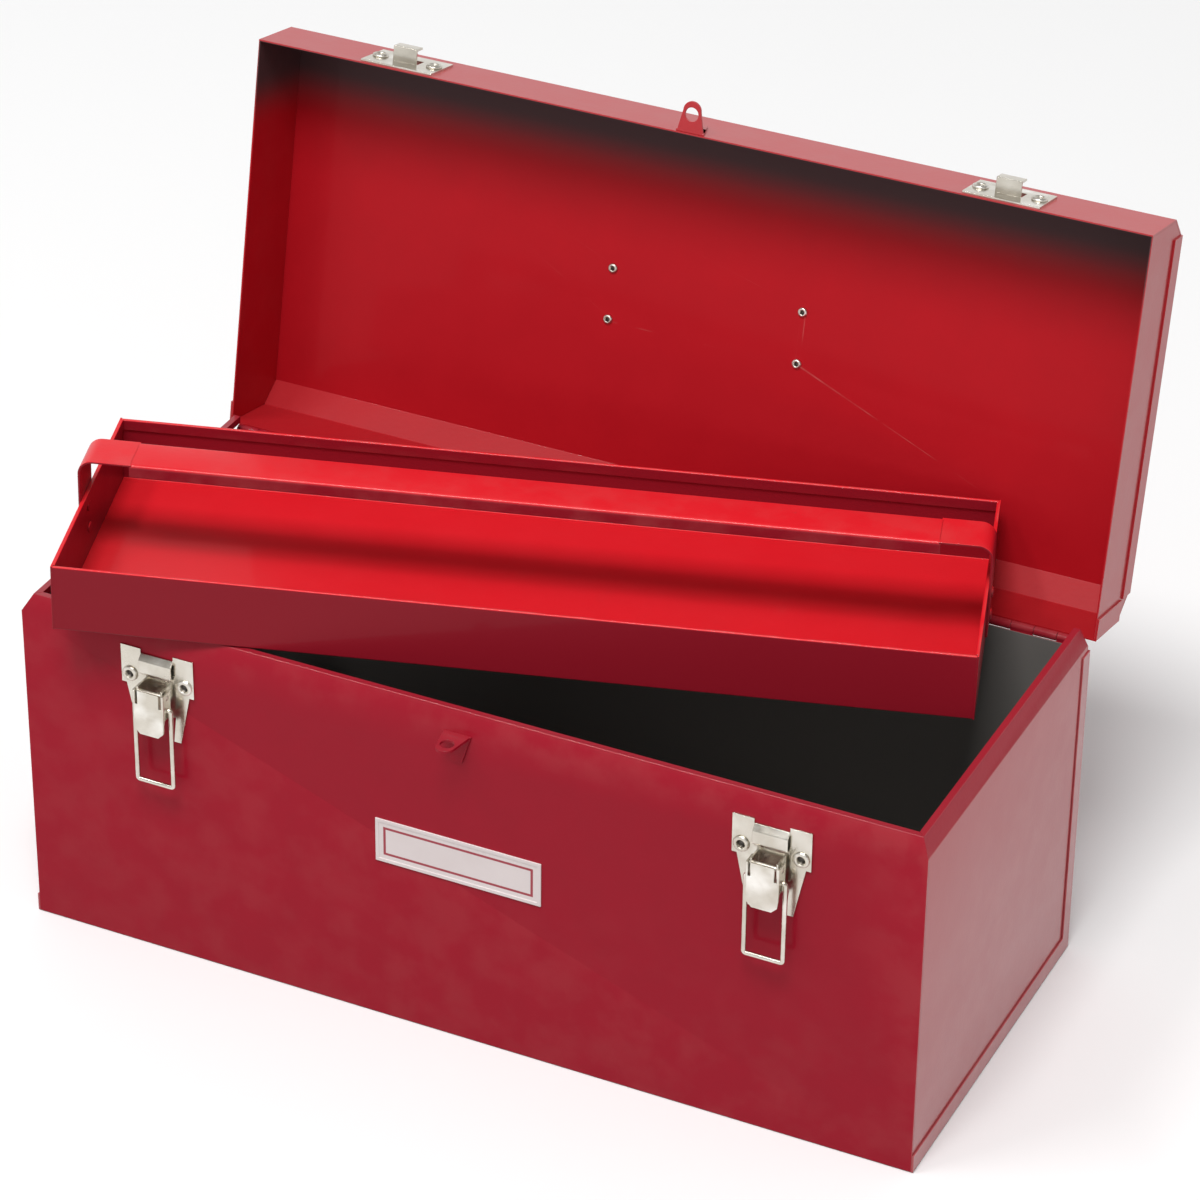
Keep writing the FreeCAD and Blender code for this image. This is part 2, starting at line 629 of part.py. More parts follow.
node("strike_rivets_right", strike_rivets_right, lid_turn)
node("strike_rivets_left", mirror("strike_rivets_other", strike_rivets_shut),
     lid_turn)


# padlock eyes

def padlock_eye(name, wall, low, weld_low, weld_high):
    # flat eye standing out from the wall, on a tapered welded foot
    tab = prism(name + "_tab", "XY_Plane", [
        ("dims.eye_root_half", "-(%s)" % wall),
        ("-dims.eye_root_half", "-(%s)" % wall),
        ("-dims.eye_tip_r", "-dims.eye_tip_y"),
        ("dims.eye_tip_r", "-dims.eye_tip_y"),
    ], "dims.eye_thick", z="%s + dims.eye_thick / 2" % low)
    tip = rod(name + "_tip", "z", "0", "-dims.eye_tip_y", low,
              "dims.eye_tip_r", "dims.eye_thick")
    foot = prism(name + "_foot", "XZ_Plane", [
        ("dims.weld_half", weld_high),
        ("-dims.weld_half", weld_high),
        ("-dims.weld_tip", weld_low),
        ("dims.weld_tip", weld_low),
    ], "dims.weld_sheet", y="-(%s + dims.weld_sheet / 2)" % wall)
    hole = rod(name + "_hole", "z", "0", "-dims.eye_hole_y", low + " - 1",
               "dims.eye_hole_r", "dims.eye_thick + 2")
    return cut(name, fuse(name + "_blank", [tab, tip, foot]), [hole])


node("padlock_eye_body", padlock_eye(
    "eye_body", half_width, "dims.eye_z", "dims.eye_z - dims.weld_h",
    "dims.eye_z + dims.eye_thick"))
node("padlock_eye_lid", padlock_eye(
    "eye_lid", lid_half, "dims.lid_eye_z",
    "dims.lid_eye_z + dims.eye_thick + dims.weld_h", "dims.lid_eye_z"),
    lid_turn)

# carry handle brackets on the lid, drawn shut

bracket_base = box(
    "bracket_base", "dims.bracket_in", "-dims.bracket_front",
    "dims.lid_top_z", "dims.bracket_out - dims.bracket_in",
    "dims.bracket_front + dims.bracket_back", "dims.bracket_sheet")
swing_z = "(dims.lid_top_z + dims.swing_high)"
bracket_ear = box(
    "bracket_ear", "dims.bracket_in", "dims.swing_y - dims.ear_r",
    "dims.lid_top_z", "dims.bracket_sheet", "2 * dims.ear_r",
    "dims.swing_high")
bracket_top = rod("bracket_top", "x", "dims.bracket_in", "dims.swing_y",
                  swing_z, "dims.ear_r", "dims.bracket_sheet")
bracket_holes = [rod("bracket_bore", "x", "dims.bracket_in - 3",
                     "dims.swing_y", swing_z, "dims.rod_bore_r", "8")]
handle_rivets = []
for spot in ("-dims.handle_rivet_front", "dims.handle_rivet_back"):
    bracket_holes.append(rod(
        "bracket_hole_%d" % len(bracket_holes), "z", "dims.handle_rivet_x",
        spot, "dims.lid_top_z - 1", "dims.inner_hole_r", "4"))
    # the domed head is on the inside of the lid
    handle_rivets.append(rivet(
        "handle_rivet_%d" % len(handle_rivets), "z", "dims.handle_rivet_x",
        spot, "dims.lid_top_z - dims.sheet",
        "(dims.bracket_sheet + dims.sheet)", "dims.inner_head_r",
        "dims.inner_head_h", "dims.inner_shank_r", False))
bracket = cut("bracket", fuse("bracket_blank", [bracket_base, bracket_ear,
                                                bracket_top]), bracket_holes)
bracket_right = group("bracket_right", [bracket])
node("handle_bracket_right", bracket_right, lid_turn)
node("handle_bracket_left", mirror("bracket_left", bracket), lid_turn)
rivets_one = group("rivets_one", handle_rivets)
rivets_all = group("rivets_all", [rivets_one, mirror("rivets_two", rivets_one)])
node("handle_rivets", rivets_all, lid_turn)

# carry handle, hanging straight down from the open lid

swing = lid_turn.multVec(FreeCAD.Vector(
    0, values["swing_y"], values["lid_top_z"] + values["swing_high"]))
swing_place = FreeCAD.Placement(swing, FreeCAD.Rotation())
handle_pieces = [rod("handle_bar", "x", "-dims.rod_half", "0",
                     "-dims.rod_drop", "dims.rod_r", "2 * dims.rod_half")]
for hand, sign in (("a", ""), ("b", "-")):
    leg_x = sign + "dims.rod_half"
    handle_pieces.append(rod("handle_leg_" + hand, "z", leg_x, "0",
                             "-dims.rod_drop", "dims.rod_r",
                             "dims.rod_drop"))
    handle_pieces.append(ball("handle_low_" + hand, leg_x, "0",
                              "-dims.rod_drop", "dims.rod_r"))
    handle_pieces.append(ball("handle_high_" + hand, leg_x, "0", "0",
                              "dims.rod_r"))
handle_pieces.append(rod("handle_stub_a", "x", "dims.rod_half", "0", "0",
                         "dims.rod_r", "dims.rod_end - dims.rod_half"))
handle_pieces.append(rod("handle_stub_b", "x", "-dims.rod_end", "0", "0",
                         "dims.rod_r", "dims.rod_end - dims.rod_half"))
node("carry_handle", fuse("handle", handle_pieces), swing_place)
grip_blank = rod("grip_blank", "x", "-dims.grip_half", "0", "-dims.rod_drop",
                 "dims.grip_r", "2 * dims.grip_half")
grip_bore = rod("grip_bore", "x", "-dims.grip_half - 1", "0",
                "-dims.rod_drop", "dims.grip_bore_r",
                "2 * dims.grip_half + 2")
node("handle_grip", cut("grip", grip_blank, [grip_bore]), swing_place)

# tray, in its own frame

lean = FreeCAD.Rotation(FreeCAD.Vector(0, 0, 1), values["tray_yaw"])
lean = lean.multiply(
    FreeCAD.Rotation(FreeCAD.Vector(0, 1, 0), values["tray_tilt"]))
lean = lean.multiply(
    FreeCAD.Rotation(FreeCAD.Vector(1, 0, 0), -values["tray_roll"]))
tray_place = FreeCAD.Placement(
    FreeCAD.Vector(values["tray_x"], values["tray_y"], values["tray_z"]),
    lean)

pan_back = "dims.tray_depth"
pan_outline = [
    ("0", "dims.tray_high"),
    ("0", "0"),
    (pan_back, "0"),
    (pan_back, "dims.tray_high"),
    (pan_back + " - 2 * dims.sheet", "dims.tray_high"),
    (pan_back + " - 2 * dims.sheet", "dims.tray_high - dims.hem"),
    (pan_back + " - dims.sheet", "dims.tray_high - dims.hem"),
    (pan_back + " - dims.sheet", "dims.sheet"),
    ("dims.sheet", "dims.sheet"),
    ("dims.sheet", "dims.tray_high - dims.hem"),
    ("2 * dims.sheet", "dims.tray_high - dims.hem"),
    ("2 * dims.sheet", "dims.tray_high"),
]
pan = prism("pan", "YZ_Plane", pan_outline,
            "dims.tray_length - 2 * dims.sheet", x="dims.tray_length / 2")
node("tray_pan", group("pan_placed", [pan]), tray_place)

strap_mid = "(dims.tray_depth / 2)"
tray_rivets = []
for side, wall, inner in (
        ("left", "0", "dims.sheet"),
        ("right", "dims.tray_length - dims.sheet",
         "dims.tray_length - 2 * dims.sheet")):
    plate = box("tray_wall_" + side, wall, "0", "0", "dims.sheet",
                "dims.tray_depth", "dims.tray_high")
    hem = box("tray_hem_" + side, inner, "2 * dims.sheet",
              "dims.tray_high - dims.hem", "dims.sheet",
              "dims.tray_depth - 4 * dims.sheet", "dims.hem")
    bores = []
    for height in ("dims.tray_rivet_low", "dims.tray_rivet_high"):
        bores.append(rod("tray_bore_%s_%d" % (side, len(bores)), "x",
                         wall + " - 2", strap_mid, height,
                         "dims.tray_hole_r", "5"))
    end = cut("tray_cut_" + side,
              fuse("tray_blank_" + side, [plate, hem]), bores)
    node("tray_end_" + side, end, tray_place)

strap_out = "-dims.strap_sheet"
strap_far = "dims.tray_length + dims.strap_sheet"
bend = "dims.strap_bend"
inner_bend = "(dims.strap_bend - dims.strap_sheet)"
shoulder = "dims.strap_z - dims.strap_bend"
strap_outline = [
    (strap_out, "dims.strap_foot"),
    (strap_out, shoulder),
    ("%s + 0.293 * %s" % (strap_out, bend), "%s + 0.707 * %s" % (shoulder, bend)),
    ("%s + %s" % (strap_out, bend), "dims.strap_z"),
    ("%s - %s" % (strap_far, bend), "dims.strap_z"),
    ("%s - 0.293 * %s" % (strap_far, bend), "%s + 0.707 * %s" % (shoulder, bend)),
    (strap_far, shoulder),
    (strap_far, "dims.strap_foot"),
    ("dims.tray_length", "dims.strap_foot"),
    ("dims.tray_length", shoulder),
    ("dims.tray_length - 0.293 * " + inner_bend,
     "%s + 0.707 * %s" % (shoulder, inner_bend)),
    ("dims.tray_length - " + inner_bend, "dims.strap_z - dims.strap_sheet"),
    (inner_bend, "dims.strap_z - dims.strap_sheet"),
    ("0.293 * " + inner_bend, "%s + 0.707 * %s" % (shoulder, inner_bend)),
    ("0", shoulder),
    ("0", "dims.strap_foot"),
]
strap = prism("strap", "XZ_Plane", strap_outline, "dims.strap_width",
              y=strap_mid)
strap_pieces = [strap]
for hand, start in (
        ("front", strap_mid + " - dims.strap_width / 2"),
        ("back", strap_mid + " + dims.strap_width / 2 - dims.strap_sheet")):
    strap_pieces.append(box(
        "strap_flange_" + hand, "dims.strap_flange_in", start,
        "dims.strap_z - dims.strap_flange",
        "dims.tray_length - 2 * dims.strap_flange_in", "dims.strap_sheet",
        "dims.strap_flange - dims.strap_sheet / 2"))
strap_bores = []
for start in ("-3", "dims.tray_length - 3"):
    for height in ("dims.tray_rivet_low", "dims.tray_rivet_high"):
        strap_bores.append(rod(
            "strap_bore_%d" % len(strap_bores), "x", start, strap_mid,
            height, "dims.tray_hole_r", "6"))
node("tray_handle", cut("strap_cut", fuse("strap_blank", strap_pieces),
                        strap_bores), tray_place)

for height in ("dims.tray_rivet_low", "dims.tray_rivet_high"):
    tray_rivets.append(rivet(
        "tray_rivet_%d" % len(tray_rivets), "x", strap_out, strap_mid,
        height, "(dims.strap_sheet + dims.sheet)", "dims.tray_head_r",
        "dims.tray_head_h", "dims.tray_shank_r", False))
left_rivets = group("left_rivets", tray_rivets)
right_rivets = doc.addObject("Part::Mirroring", "right_rivets")
right_rivets.Source = left_rivets
right_rivets.Normal = FreeCAD.Vector(1, 0, 0)
bind(right_rivets, "Base.x", "dims.tray_length / 2")
node("tray_handle_rivets", group("tray_rivets", [left_rivets, right_rivets]),
     tray_place)

# check and export

doc.recompute()
for thing in doc.Objects:
    if "Invalid" in thing.State or "Error" in thing.State:
        raise RuntimeError("%s did not build" % thing.Label)
for thing in subparts:
    shape = thing.Shape
    if shape.isNull() or not shape.isValid() or not shape.Solids:
        raise RuntimeError("%s is not a sound solid" % thing.Label)
    shape.exportStep("parts/%s.step" % thing.Label)
    room = shape.BoundBox
    print("%-22s %d solid(s) %9.1f mm3  x %.1f..%.1f y %.1f..%.1f z %.1f..%.1f"
          % (thing.Label, len(shape.Solids), shape.Volume, room.XMin,
             room.XMax, room.YMin, room.YMax, room.ZMin, room.ZMax))
print("%d sub-parts" % len(subparts))
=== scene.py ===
import json
import math

import bmesh
import bpy
from mathutils import Matrix, Vector


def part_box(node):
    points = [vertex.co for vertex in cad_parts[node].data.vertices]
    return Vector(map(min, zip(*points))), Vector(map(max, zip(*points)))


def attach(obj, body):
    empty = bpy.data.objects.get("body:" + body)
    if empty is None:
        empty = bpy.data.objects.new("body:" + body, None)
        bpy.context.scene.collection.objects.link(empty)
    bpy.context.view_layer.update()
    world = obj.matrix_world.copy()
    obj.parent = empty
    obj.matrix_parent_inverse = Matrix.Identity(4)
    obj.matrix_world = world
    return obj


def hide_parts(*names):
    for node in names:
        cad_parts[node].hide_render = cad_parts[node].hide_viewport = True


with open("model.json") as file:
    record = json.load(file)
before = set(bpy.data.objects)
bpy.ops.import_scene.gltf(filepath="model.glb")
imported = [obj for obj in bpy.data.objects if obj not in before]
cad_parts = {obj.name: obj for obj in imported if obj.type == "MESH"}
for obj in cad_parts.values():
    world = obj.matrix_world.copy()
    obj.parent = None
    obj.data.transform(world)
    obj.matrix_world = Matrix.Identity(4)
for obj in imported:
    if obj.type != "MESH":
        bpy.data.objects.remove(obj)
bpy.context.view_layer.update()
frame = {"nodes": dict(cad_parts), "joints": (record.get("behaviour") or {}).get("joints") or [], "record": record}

# Red steel toolbox, lid open, tray lying across the rim.
# Everything is in metres, in the frame's own axes.

mm = 0.001
nodes = frame["nodes"]
joints = {joint["name"]: joint for joint in frame["joints"]}
hinge = Vector(joints["lid_hinge"]["pos_m"])
openAngle = math.radians(-joints["lid_hinge"]["range_deg"][0])
bodyOf = {}
for bodyName, members in frame["record"]["behaviour"]["bodies"].items():
    for member in members:
        bodyOf[member] = bodyName
slotOf = {}
for entry in frame["record"]["subparts"]:
    slotOf[entry["node"]] = entry["material_slot"]


# shader effects used by more than one material
def startGroup(name, inputs, outputs):
    group = bpy.data.node_groups.new(name, "ShaderNodeTree")
    for label, kind, value in inputs:
        socket = group.interface.new_socket(name=label, in_out="INPUT", socket_type=kind)
        socket.default_value = value
    for label, kind in outputs:
        group.interface.new_socket(name=label, in_out="OUTPUT", socket_type=kind)
    return group, group.nodes.new("NodeGroupInput"), group.nodes.new("NodeGroupOutput")


def addNode(tree, kind, inputs=None, **settings):
    node = tree.nodes.new(kind)
    for key, value in settings.items():
        setattr(node, key, value)
    for key, value in (inputs or {}).items():
        if isinstance(value, bpy.types.NodeSocket):
            tree.links.new(value, node.inputs[key])
        else:
            node.inputs[key].default_value = value
    return node


def makePeel():
    # the slight orange peel and slow waviness of sprayed enamel on thin sheet
    group, given, out = startGroup(
        "enamelPeel",
        [("Peel Scale", "NodeSocketFloat", 420.0), ("Wave Scale", "NodeSocketFloat", 9.0),
         ("Wave Amount", "NodeSocketFloat", 0.5)],
        [("Height", "NodeSocketFloat"), ("Mottle", "NodeSocketFloat")])
    where = addNode(group, "ShaderNodeTexCoord").outputs["Object"]
    peel = addNode(group, "ShaderNodeTexNoise",
                   {"Vector": where, "Scale": given.outputs["Peel Scale"], "Detail": 2.0})
    wave = addNode(group, "ShaderNodeTexNoise",
                   {"Vector": where, "Scale": given.outputs["Wave Scale"], "Detail": 1.0})
    mottle = addNode(group, "ShaderNodeTexNoise",
                     {"Vector": where, "Scale": 38.0, "Detail": 5.0, "Roughness": 0.62})
    slow = addNode(group, "ShaderNodeMath", {0: wave.outputs["Fac"],
                                             1: given.outputs["Wave Amount"]},
                   operation="MULTIPLY")
    total = addNode(group, "ShaderNodeMath", {0: peel.outputs["Fac"], 1: slow.outputs[0]},
                    operation="ADD")
    group.links.new(total.outputs[0], out.inputs["Height"])
    group.links.new(mottle.outputs["Fac"], out.inputs["Mottle"])
    return group


def makeEdgeRub():
    # where handling thins the paint or polishes the plating along edges
    group, given, out = startGroup(
        "edgeRub",
        [("Start", "NodeSocketFloat", 0.53), ("End", "NodeSocketFloat", 0.62),
         ("Patch Scale", "NodeSocketFloat", 60.0)],
        [("Mask", "NodeSocketFloat")])
    where = addNode(group, "ShaderNodeTexCoord").outputs["Object"]
    corner = addNode(group, "ShaderNodeNewGeometry")
    raised = addNode(group, "ShaderNodeMapRange",
                     {"Value": corner.outputs["Pointiness"],
                      "From Min": given.outputs["Start"], "From Max": given.outputs["End"]})
    patch = addNode(group, "ShaderNodeTexNoise",
                    {"Vector": where, "Scale": given.outputs["Patch Scale"], "Detail": 6.0})
    broken = addNode(group, "ShaderNodeMapRange",
                     {"Value": patch.outputs["Fac"], "From Min": 0.42, "From Max": 0.66})
    mask = addNode(group, "ShaderNodeMath",
                   {0: raised.outputs[0], 1: broken.outputs[0]}, operation="MULTIPLY")
    group.links.new(mask.outputs[0], out.inputs["Mask"])
    return group


def makeDust():
    # a thin, patchy film that settles on faces turned up
    group, given, out = startGroup(
        "dustFilm",
        [("Patch Scale", "NodeSocketFloat", 14.0), ("Amount", "NodeSocketFloat", 0.1)],
        [("Mask", "NodeSocketFloat")])
    where = addNode(group, "ShaderNodeTexCoord")
    facing = addNode(group, "ShaderNodeNewGeometry")
    split = addNode(group, "ShaderNodeSeparateXYZ", {0: facing.outputs["Normal"]})
    upward = addNode(group, "ShaderNodeMapRange",
                     {"Value": split.outputs["Z"], "From Min": 0.5, "From Max": 1.0})
    patch = addNode(group, "ShaderNodeTexNoise",
                    {"Vector": where.outputs["Object"],
                     "Scale": given.outputs["Patch Scale"], "Detail": 8.0,
                     "Roughness": 0.7})
    thick = addNode(group, "ShaderNodeMath", {0: upward.outputs[0], 1: patch.outputs["Fac"]},
                    operation="MULTIPLY")
    mask = addNode(group, "ShaderNodeMath", {0: thick.outputs[0], 1: given.outputs["Amount"]},
                   operation="MULTIPLY")
    group.links.new(mask.outputs[0], out.inputs["Mask"])
    return group


def makeBand():
    # smooth mask, 0 at From and 1 at To
    group, given, out = startGroup(
        "bandAlong",
        [("Value", "NodeSocketFloat", 0.0), ("From", "NodeSocketFloat", 0.0),
         ("To", "NodeSocketFloat", 1.0)],
        [("Mask", "NodeSocketFloat")])
    ramp = addNode(group, "ShaderNodeMapRange",
                   {"Value": given.outputs["Value"], "From Min": given.outputs["From"],
                    "From Max": given.outputs["To"]}, interpolation_type="SMOOTHSTEP")
    group.links.new(ramp.outputs[0], out.inputs["Mask"])
    return group


def makeScuff():
    # fine hairlines and clouding on plated metal
    group, given, out = startGroup(
        "platingScuff",
        [("Line Scale", "NodeSocketFloat", 900.0), ("Cloud Scale", "NodeSocketFloat", 70.0)],
        [("Lines", "NodeSocketFloat"), ("Clouds", "NodeSocketFloat")])
    where = addNode(group, "ShaderNodeTexCoord").outputs["Object"]
    drawn = addNode(group, "ShaderNodeMapping", {"Vector": where, "Scale": (1.0, 1.0, 0.08)})
    lines = addNode(group, "ShaderNodeTexNoise",
                    {"Vector": drawn.outputs[0], "Scale": given.outputs["Line Scale"],
                     "Detail": 3.0})
    clouds = addNode(group, "ShaderNodeTexNoise",
                     {"Vector": where, "Scale": given.outputs["Cloud Scale"], "Detail": 6.0,
                      "Roughness": 0.6})
    group.links.new(lines.outputs["Fac"], out.inputs["Lines"])
    group.links.new(clouds.outputs["Fac"], out.inputs["Clouds"])
    return group


groups = {
    "peel": makePeel(), "rub": makeEdgeRub(), "dust": makeDust(), "band": makeBand(),
    "scuff": makeScuff(),
}
print("shader groups ready")


# materials, one for each slot
def fillGroup(tree, name, inputs):
    return addNode(tree, "ShaderNodeGroup", inputs, node_tree=groups[name])


def workOut(tree, operation, first, second=0.0, clamp=False):
    node = addNode(tree, "ShaderNodeMath", {0: first, 1: second}, operation=operation,
                   use_clamp=clamp)
    return node.outputs[0]


def mixColour(tree, factor, first, second):
    node = addNode(tree, "ShaderNodeMix", data_type="RGBA")
    for index, value in ((0, factor), (6, first), (7, second)):
        if isinstance(value, bpy.types.NodeSocket):
            tree.links.new(value, node.inputs[index])
        else:
            node.inputs[index].default_value = value
    return node.outputs[2]


def startMaterial(name, settings):
    material = bpy.data.materials.new(name)
    material.use_nodes = True
    tree = material.node_tree
    shader = tree.nodes["Principled BSDF"]
    for key, value in settings.items():
        shader.inputs[key].default_value = value
    return material, tree, shader


enamelCoat = {"wave": 1.2, "dust": 0.03, "dustColour": (0.62, 0.45, 0.42, 1),
              "bump": 0.03, "bumpDepth": 0.002, "smoother": 0.05, "rougher": 0.08}


def redEnamel(name, look, shade=None):
    # gloss paint: peel, slow waviness, rubbed edges, a breath of dust
    material, tree, shader = startMaterial(name, {
        "Specular IOR Level": look["specular"], "Coat Weight": look["coat"],
        "Coat Roughness": look["coatRough"], "Coat IOR": 1.5})
    peel = fillGroup(tree, "peel", {"Wave Amount": enamelCoat["wave"]})
    colour = mixColour(tree, peel.outputs["Mottle"], look["deep"], look["colour"])
    if shade is not None:
        colour, gloss = shade(tree, colour)
        # shine and polish are the specular level and coat where the paint is glossy
        for socket, low, high in (
                ("Specular IOR Level", look["specular"], look["shine"]),
                ("Coat Weight", look["coat"], look["polish"])):
            level = addNode(tree, "ShaderNodeMapRange",
                            {"Value": gloss, "To Min": low, "To Max": high})
            tree.links.new(level.outputs[0], shader.inputs[socket])
    dust = fillGroup(tree, "dust", {"Amount": enamelCoat["dust"]})
    colour = mixColour(tree, dust.outputs["Mask"], colour, enamelCoat["dustColour"])
    rub = fillGroup(tree, "rub", {})
    rubbed = workOut(tree, "MULTIPLY", rub.outputs["Mask"], look["rub"])
    colour = mixColour(tree, rubbed, colour, look["edge"])
    tree.links.new(colour, shader.inputs["Base Color"])
    rough = addNode(tree, "ShaderNodeMapRange",
                    {"Value": peel.outputs["Mottle"],
                     "To Min": look["rough"] - enamelCoat["smoother"],
                     "To Max": look["rough"] + enamelCoat["rougher"]})
    tree.links.new(rough.outputs[0], shader.inputs["Roughness"])
    bump = addNode(tree, "ShaderNodeBump", {"Strength": enamelCoat["bump"],
                                            "Distance": enamelCoat["bumpDepth"],
                                            "Height": peel.outputs["Height"]})
    tree.links.new(bump.outputs[0], shader.inputs["Normal"])
    return material


def ramp(tree, value, start, end):
    # smooth mask, 0 where the value is start and 1 where it is end
    return fillGroup(tree, "band", {"Value": value, "From": start, "To": end}).outputs[0]


def platedMetal(name, look):
    # plating, stained in patches, bright on its edges, with painted shade in its corners
    material, tree, shader = startMaterial(name, {"Metallic": 1.0})
    scuff = fillGroup(tree, "scuff", {})
    rub = fillGroup(tree, "rub", {"Start": 0.5, "End": 0.58})
    stained = mixColour(tree, scuff.outputs["Clouds"], look["dark"], look["colour"])
    bright = mixColour(tree, rub.outputs["Mask"], stained, look["bright"])
    corner = addNode(tree, "ShaderNodeNewGeometry")
    # painted shade: concave corners are coloured darker
    cornerShade = ramp(tree, corner.outputs["Pointiness"], 0.49, 0.455)
    bright = mixColour(tree, cornerShade, bright, look["cornerShade"])
    tree.links.new(bright, shader.inputs["Base Color"])
    rough = addNode(tree, "ShaderNodeMapRange",
                    {"Value": scuff.outputs["Clouds"], "From Min": 0.3, "From Max": 0.7,
                     "To Min": look["rough"] - 0.07, "To Max": look["rough"] + 0.1})
    tree.links.new(rough.outputs[0], shader.inputs["Roughness"])
    bump = addNode(tree, "ShaderNodeBump", {"Strength": 0.05, "Distance": 0.0005,
                                            "Height": scuff.outputs["Lines"]})
    tree.links.new(bump.outputs[0], shader.inputs["Normal"])
    return material


def product(tree, factors):
    # one mask from several
    total = factors[0]
    for factor in factors[1:]:
        total = workOut(tree, "MULTIPLY", total, factor)
    return total


def spread(tree, socket, start, end):
    # mask from 0 at start to 1 at end, on the distance either side of the middle
    return ramp(tree, workOut(tree, "ABSOLUTE", socket), start, end)


def upturned(tree, start, end):
    # mask from 0 on upright faces to 1 on level ones
    facing = addNode(tree, "ShaderNodeNewGeometry")
    split = addNode(tree, "ShaderNodeSeparateXYZ", {0: facing.outputs["Normal"]})
    return ramp(tree, split.outputs["Z"], start, end)


# where each shade starts and ends, in metres on its axis
boxShade = {"across": (0.2527, 0.2523), "deep": (0.1077, 0.1073),
            "bottom": (0.0004, 0.0009), "rim": (0.1887, 0.1879),
            "inside": (0.21, 0.20, 0.187, 1),
            "ends": (0.2526, 0.2529), "endSheenColour": (0.40, 0.045, 0.054, 1)}
# foldShade's fold range and dark colour make the painted shade along the lid's front fold
foldShade = {"across": (0.2538, 0.2534), "deep": (0.1085, 0.1081),
             "top": (0.2391, 0.2387), "fold": (-0.058, -0.088),
             "dark": (0.066, 0.034, 0.036, 1), "level": (0.45, 0.65), "glint": 0.35}


def insideShade(tree, colour):
    # the inside of the box is coloured dark grey; the turned rim keeps the red, and the two ends are
    # painted paler and made shinier, a painted reflection of the bright surroundings
    where = addNode(tree, "ShaderNodeTexCoord").outputs["Object"]
    split = addNode(tree, "ShaderNodeSeparateXYZ", {0: where})
    high = split.outputs["Z"]
    within = product(tree, [
        spread(tree, split.outputs["X"], *boxShade["across"]),
        spread(tree, split.outputs["Y"], *boxShade["deep"]),
        ramp(tree, high, *boxShade["bottom"]), ramp(tree, high, *boxShade["rim"])])
    colour = mixColour(tree, within, colour, boxShade["inside"])
    # painted reflection: the outer faces of the two ends are coloured paler red, as if catching the bright
    # surroundings
    ends = spread(tree, split.outputs["X"], *boxShade["ends"])
    colour = mixColour(tree, ends, colour, boxShade["endSheenColour"])
    clean = workOut(tree, "SUBTRACT", upturned(tree, 0.4, 0.7), within, clamp=True)
    return colour, workOut(tree, "MAXIMUM", ends, clean)


def lidShade(tree, colour):
    # painted shade: dark colour along the fold at the lid's front, where the inside gets little light, and
    # dull paint inside; it goes by place on the shut lid, so the fold is dark on both faces of the sheet
    turned = Matrix.Rotation(openAngle, 3, "X")
    moved = hinge - turned @ hinge
    where = addNode(tree, "ShaderNodeTexCoord").outputs["Object"]
    shut = addNode(tree, "ShaderNodeMapping", {"Vector": where,
                                               "Rotation": (openAngle, 0.0, 0.0),
                                               "Location": moved})
    split = addNode(tree, "ShaderNodeSeparateXYZ", {0: shut.outputs[0]})
    across, deep = split.outputs["X"], split.outputs["Y"]
    within = product(tree, [
        spread(tree, across, *foldShade["across"]), spread(tree, deep, *foldShade["deep"]),
        ramp(tree, split.outputs["Z"], *foldShade["top"])])
    # painted shade: the band along the front fold is coloured dark
    shadow = product(tree, [ramp(tree, deep, *foldShade["fold"]), within])
    colour = mixColour(tree, shadow, colour, foldShade["dark"])
    outer = workOut(tree, "SUBTRACT", 1.0, within)
    glint = workOut(tree, "MULTIPLY", upturned(tree, *foldShade["level"]), foldShade["glint"])
    return colour, workOut(tree, "MAXIMUM", outer, glint)


def trayShade(tree, colour):
    # painted shade: the upright faces, lit less from above, are coloured a deeper red than the level ones
    level = upturned(tree, 0.15, 0.75)
    return mixColour(tree, level, (0.26, 0.008, 0.018, 1), colour), level


enamelLook = {
    "colour": (0.35, 0.006, 0.021, 1), "deep": (0.315, 0.005, 0.018, 1),
    "edge": (0.55, 0.16, 0.15, 1), "rub": 0.35, "rough": 0.34, "specular": 0.12,
    "coat": 0.1, "coatRough": 0.08, "shine": 0.5, "polish": 0.6,
}
boxEnamel = redEnamel("boxEnamel", enamelLook, insideShade)
lidEnamel = redEnamel("lidEnamel", {**enamelLook, "colour": (0.46, 0.007, 0.014, 1),
                                    "deep": (0.40, 0.006, 0.012, 1), "coat": 0.04,
                                    "polish": 0.35, "rough": 0.42}, lidShade)
hingeEnamel = redEnamel("hingeEnamel", {**enamelLook, "rub": 0.8, "coat": 0.5})
# painted light: the tray's red is made lighter than the box's, as its level faces are lit from above
trayEnamel = redEnamel("trayEnamel", {**enamelLook, "colour": (0.76, 0.008, 0.018, 1),
                                      "deep": (0.70, 0.006, 0.014, 1), "shine": 0.25,
                                      "polish": 0.15}, trayShade)
ledgeEnamel = redEnamel("ledgeEnamel", {**enamelLook, "colour": (0.06, 0.012, 0.012, 1),
                                        "deep": (0.03, 0.010, 0.010, 1)})
platingLook = {"colour": (0.76, 0.72, 0.64, 1), "dark": (0.46, 0.42, 0.35, 1),
               "bright": (0.93, 0.91, 0.86, 1), "cornerShade": (0.10, 0.09, 0.08, 1),
               "rough": 0.2}
latchPlating = platedMetal("latchPlating", platingLook)
rivetPlating = platedMetal("rivetPlating", {**platingLook, "rough": 0.3})
wirePlating = platedMetal("wirePlating", platingLook)
hingeWire = platedMetal("hingeWire", {**platingLook, "colour": (0.5, 0.48, 0.45, 1),
                                      "dark": (0.3, 0.28, 0.26, 1),
                                      "bright": (0.7, 0.68, 0.64, 1), "rough": 0.35})
handlePlating = platedMetal("handlePlating", {**platingLook, "rough": 0.28})


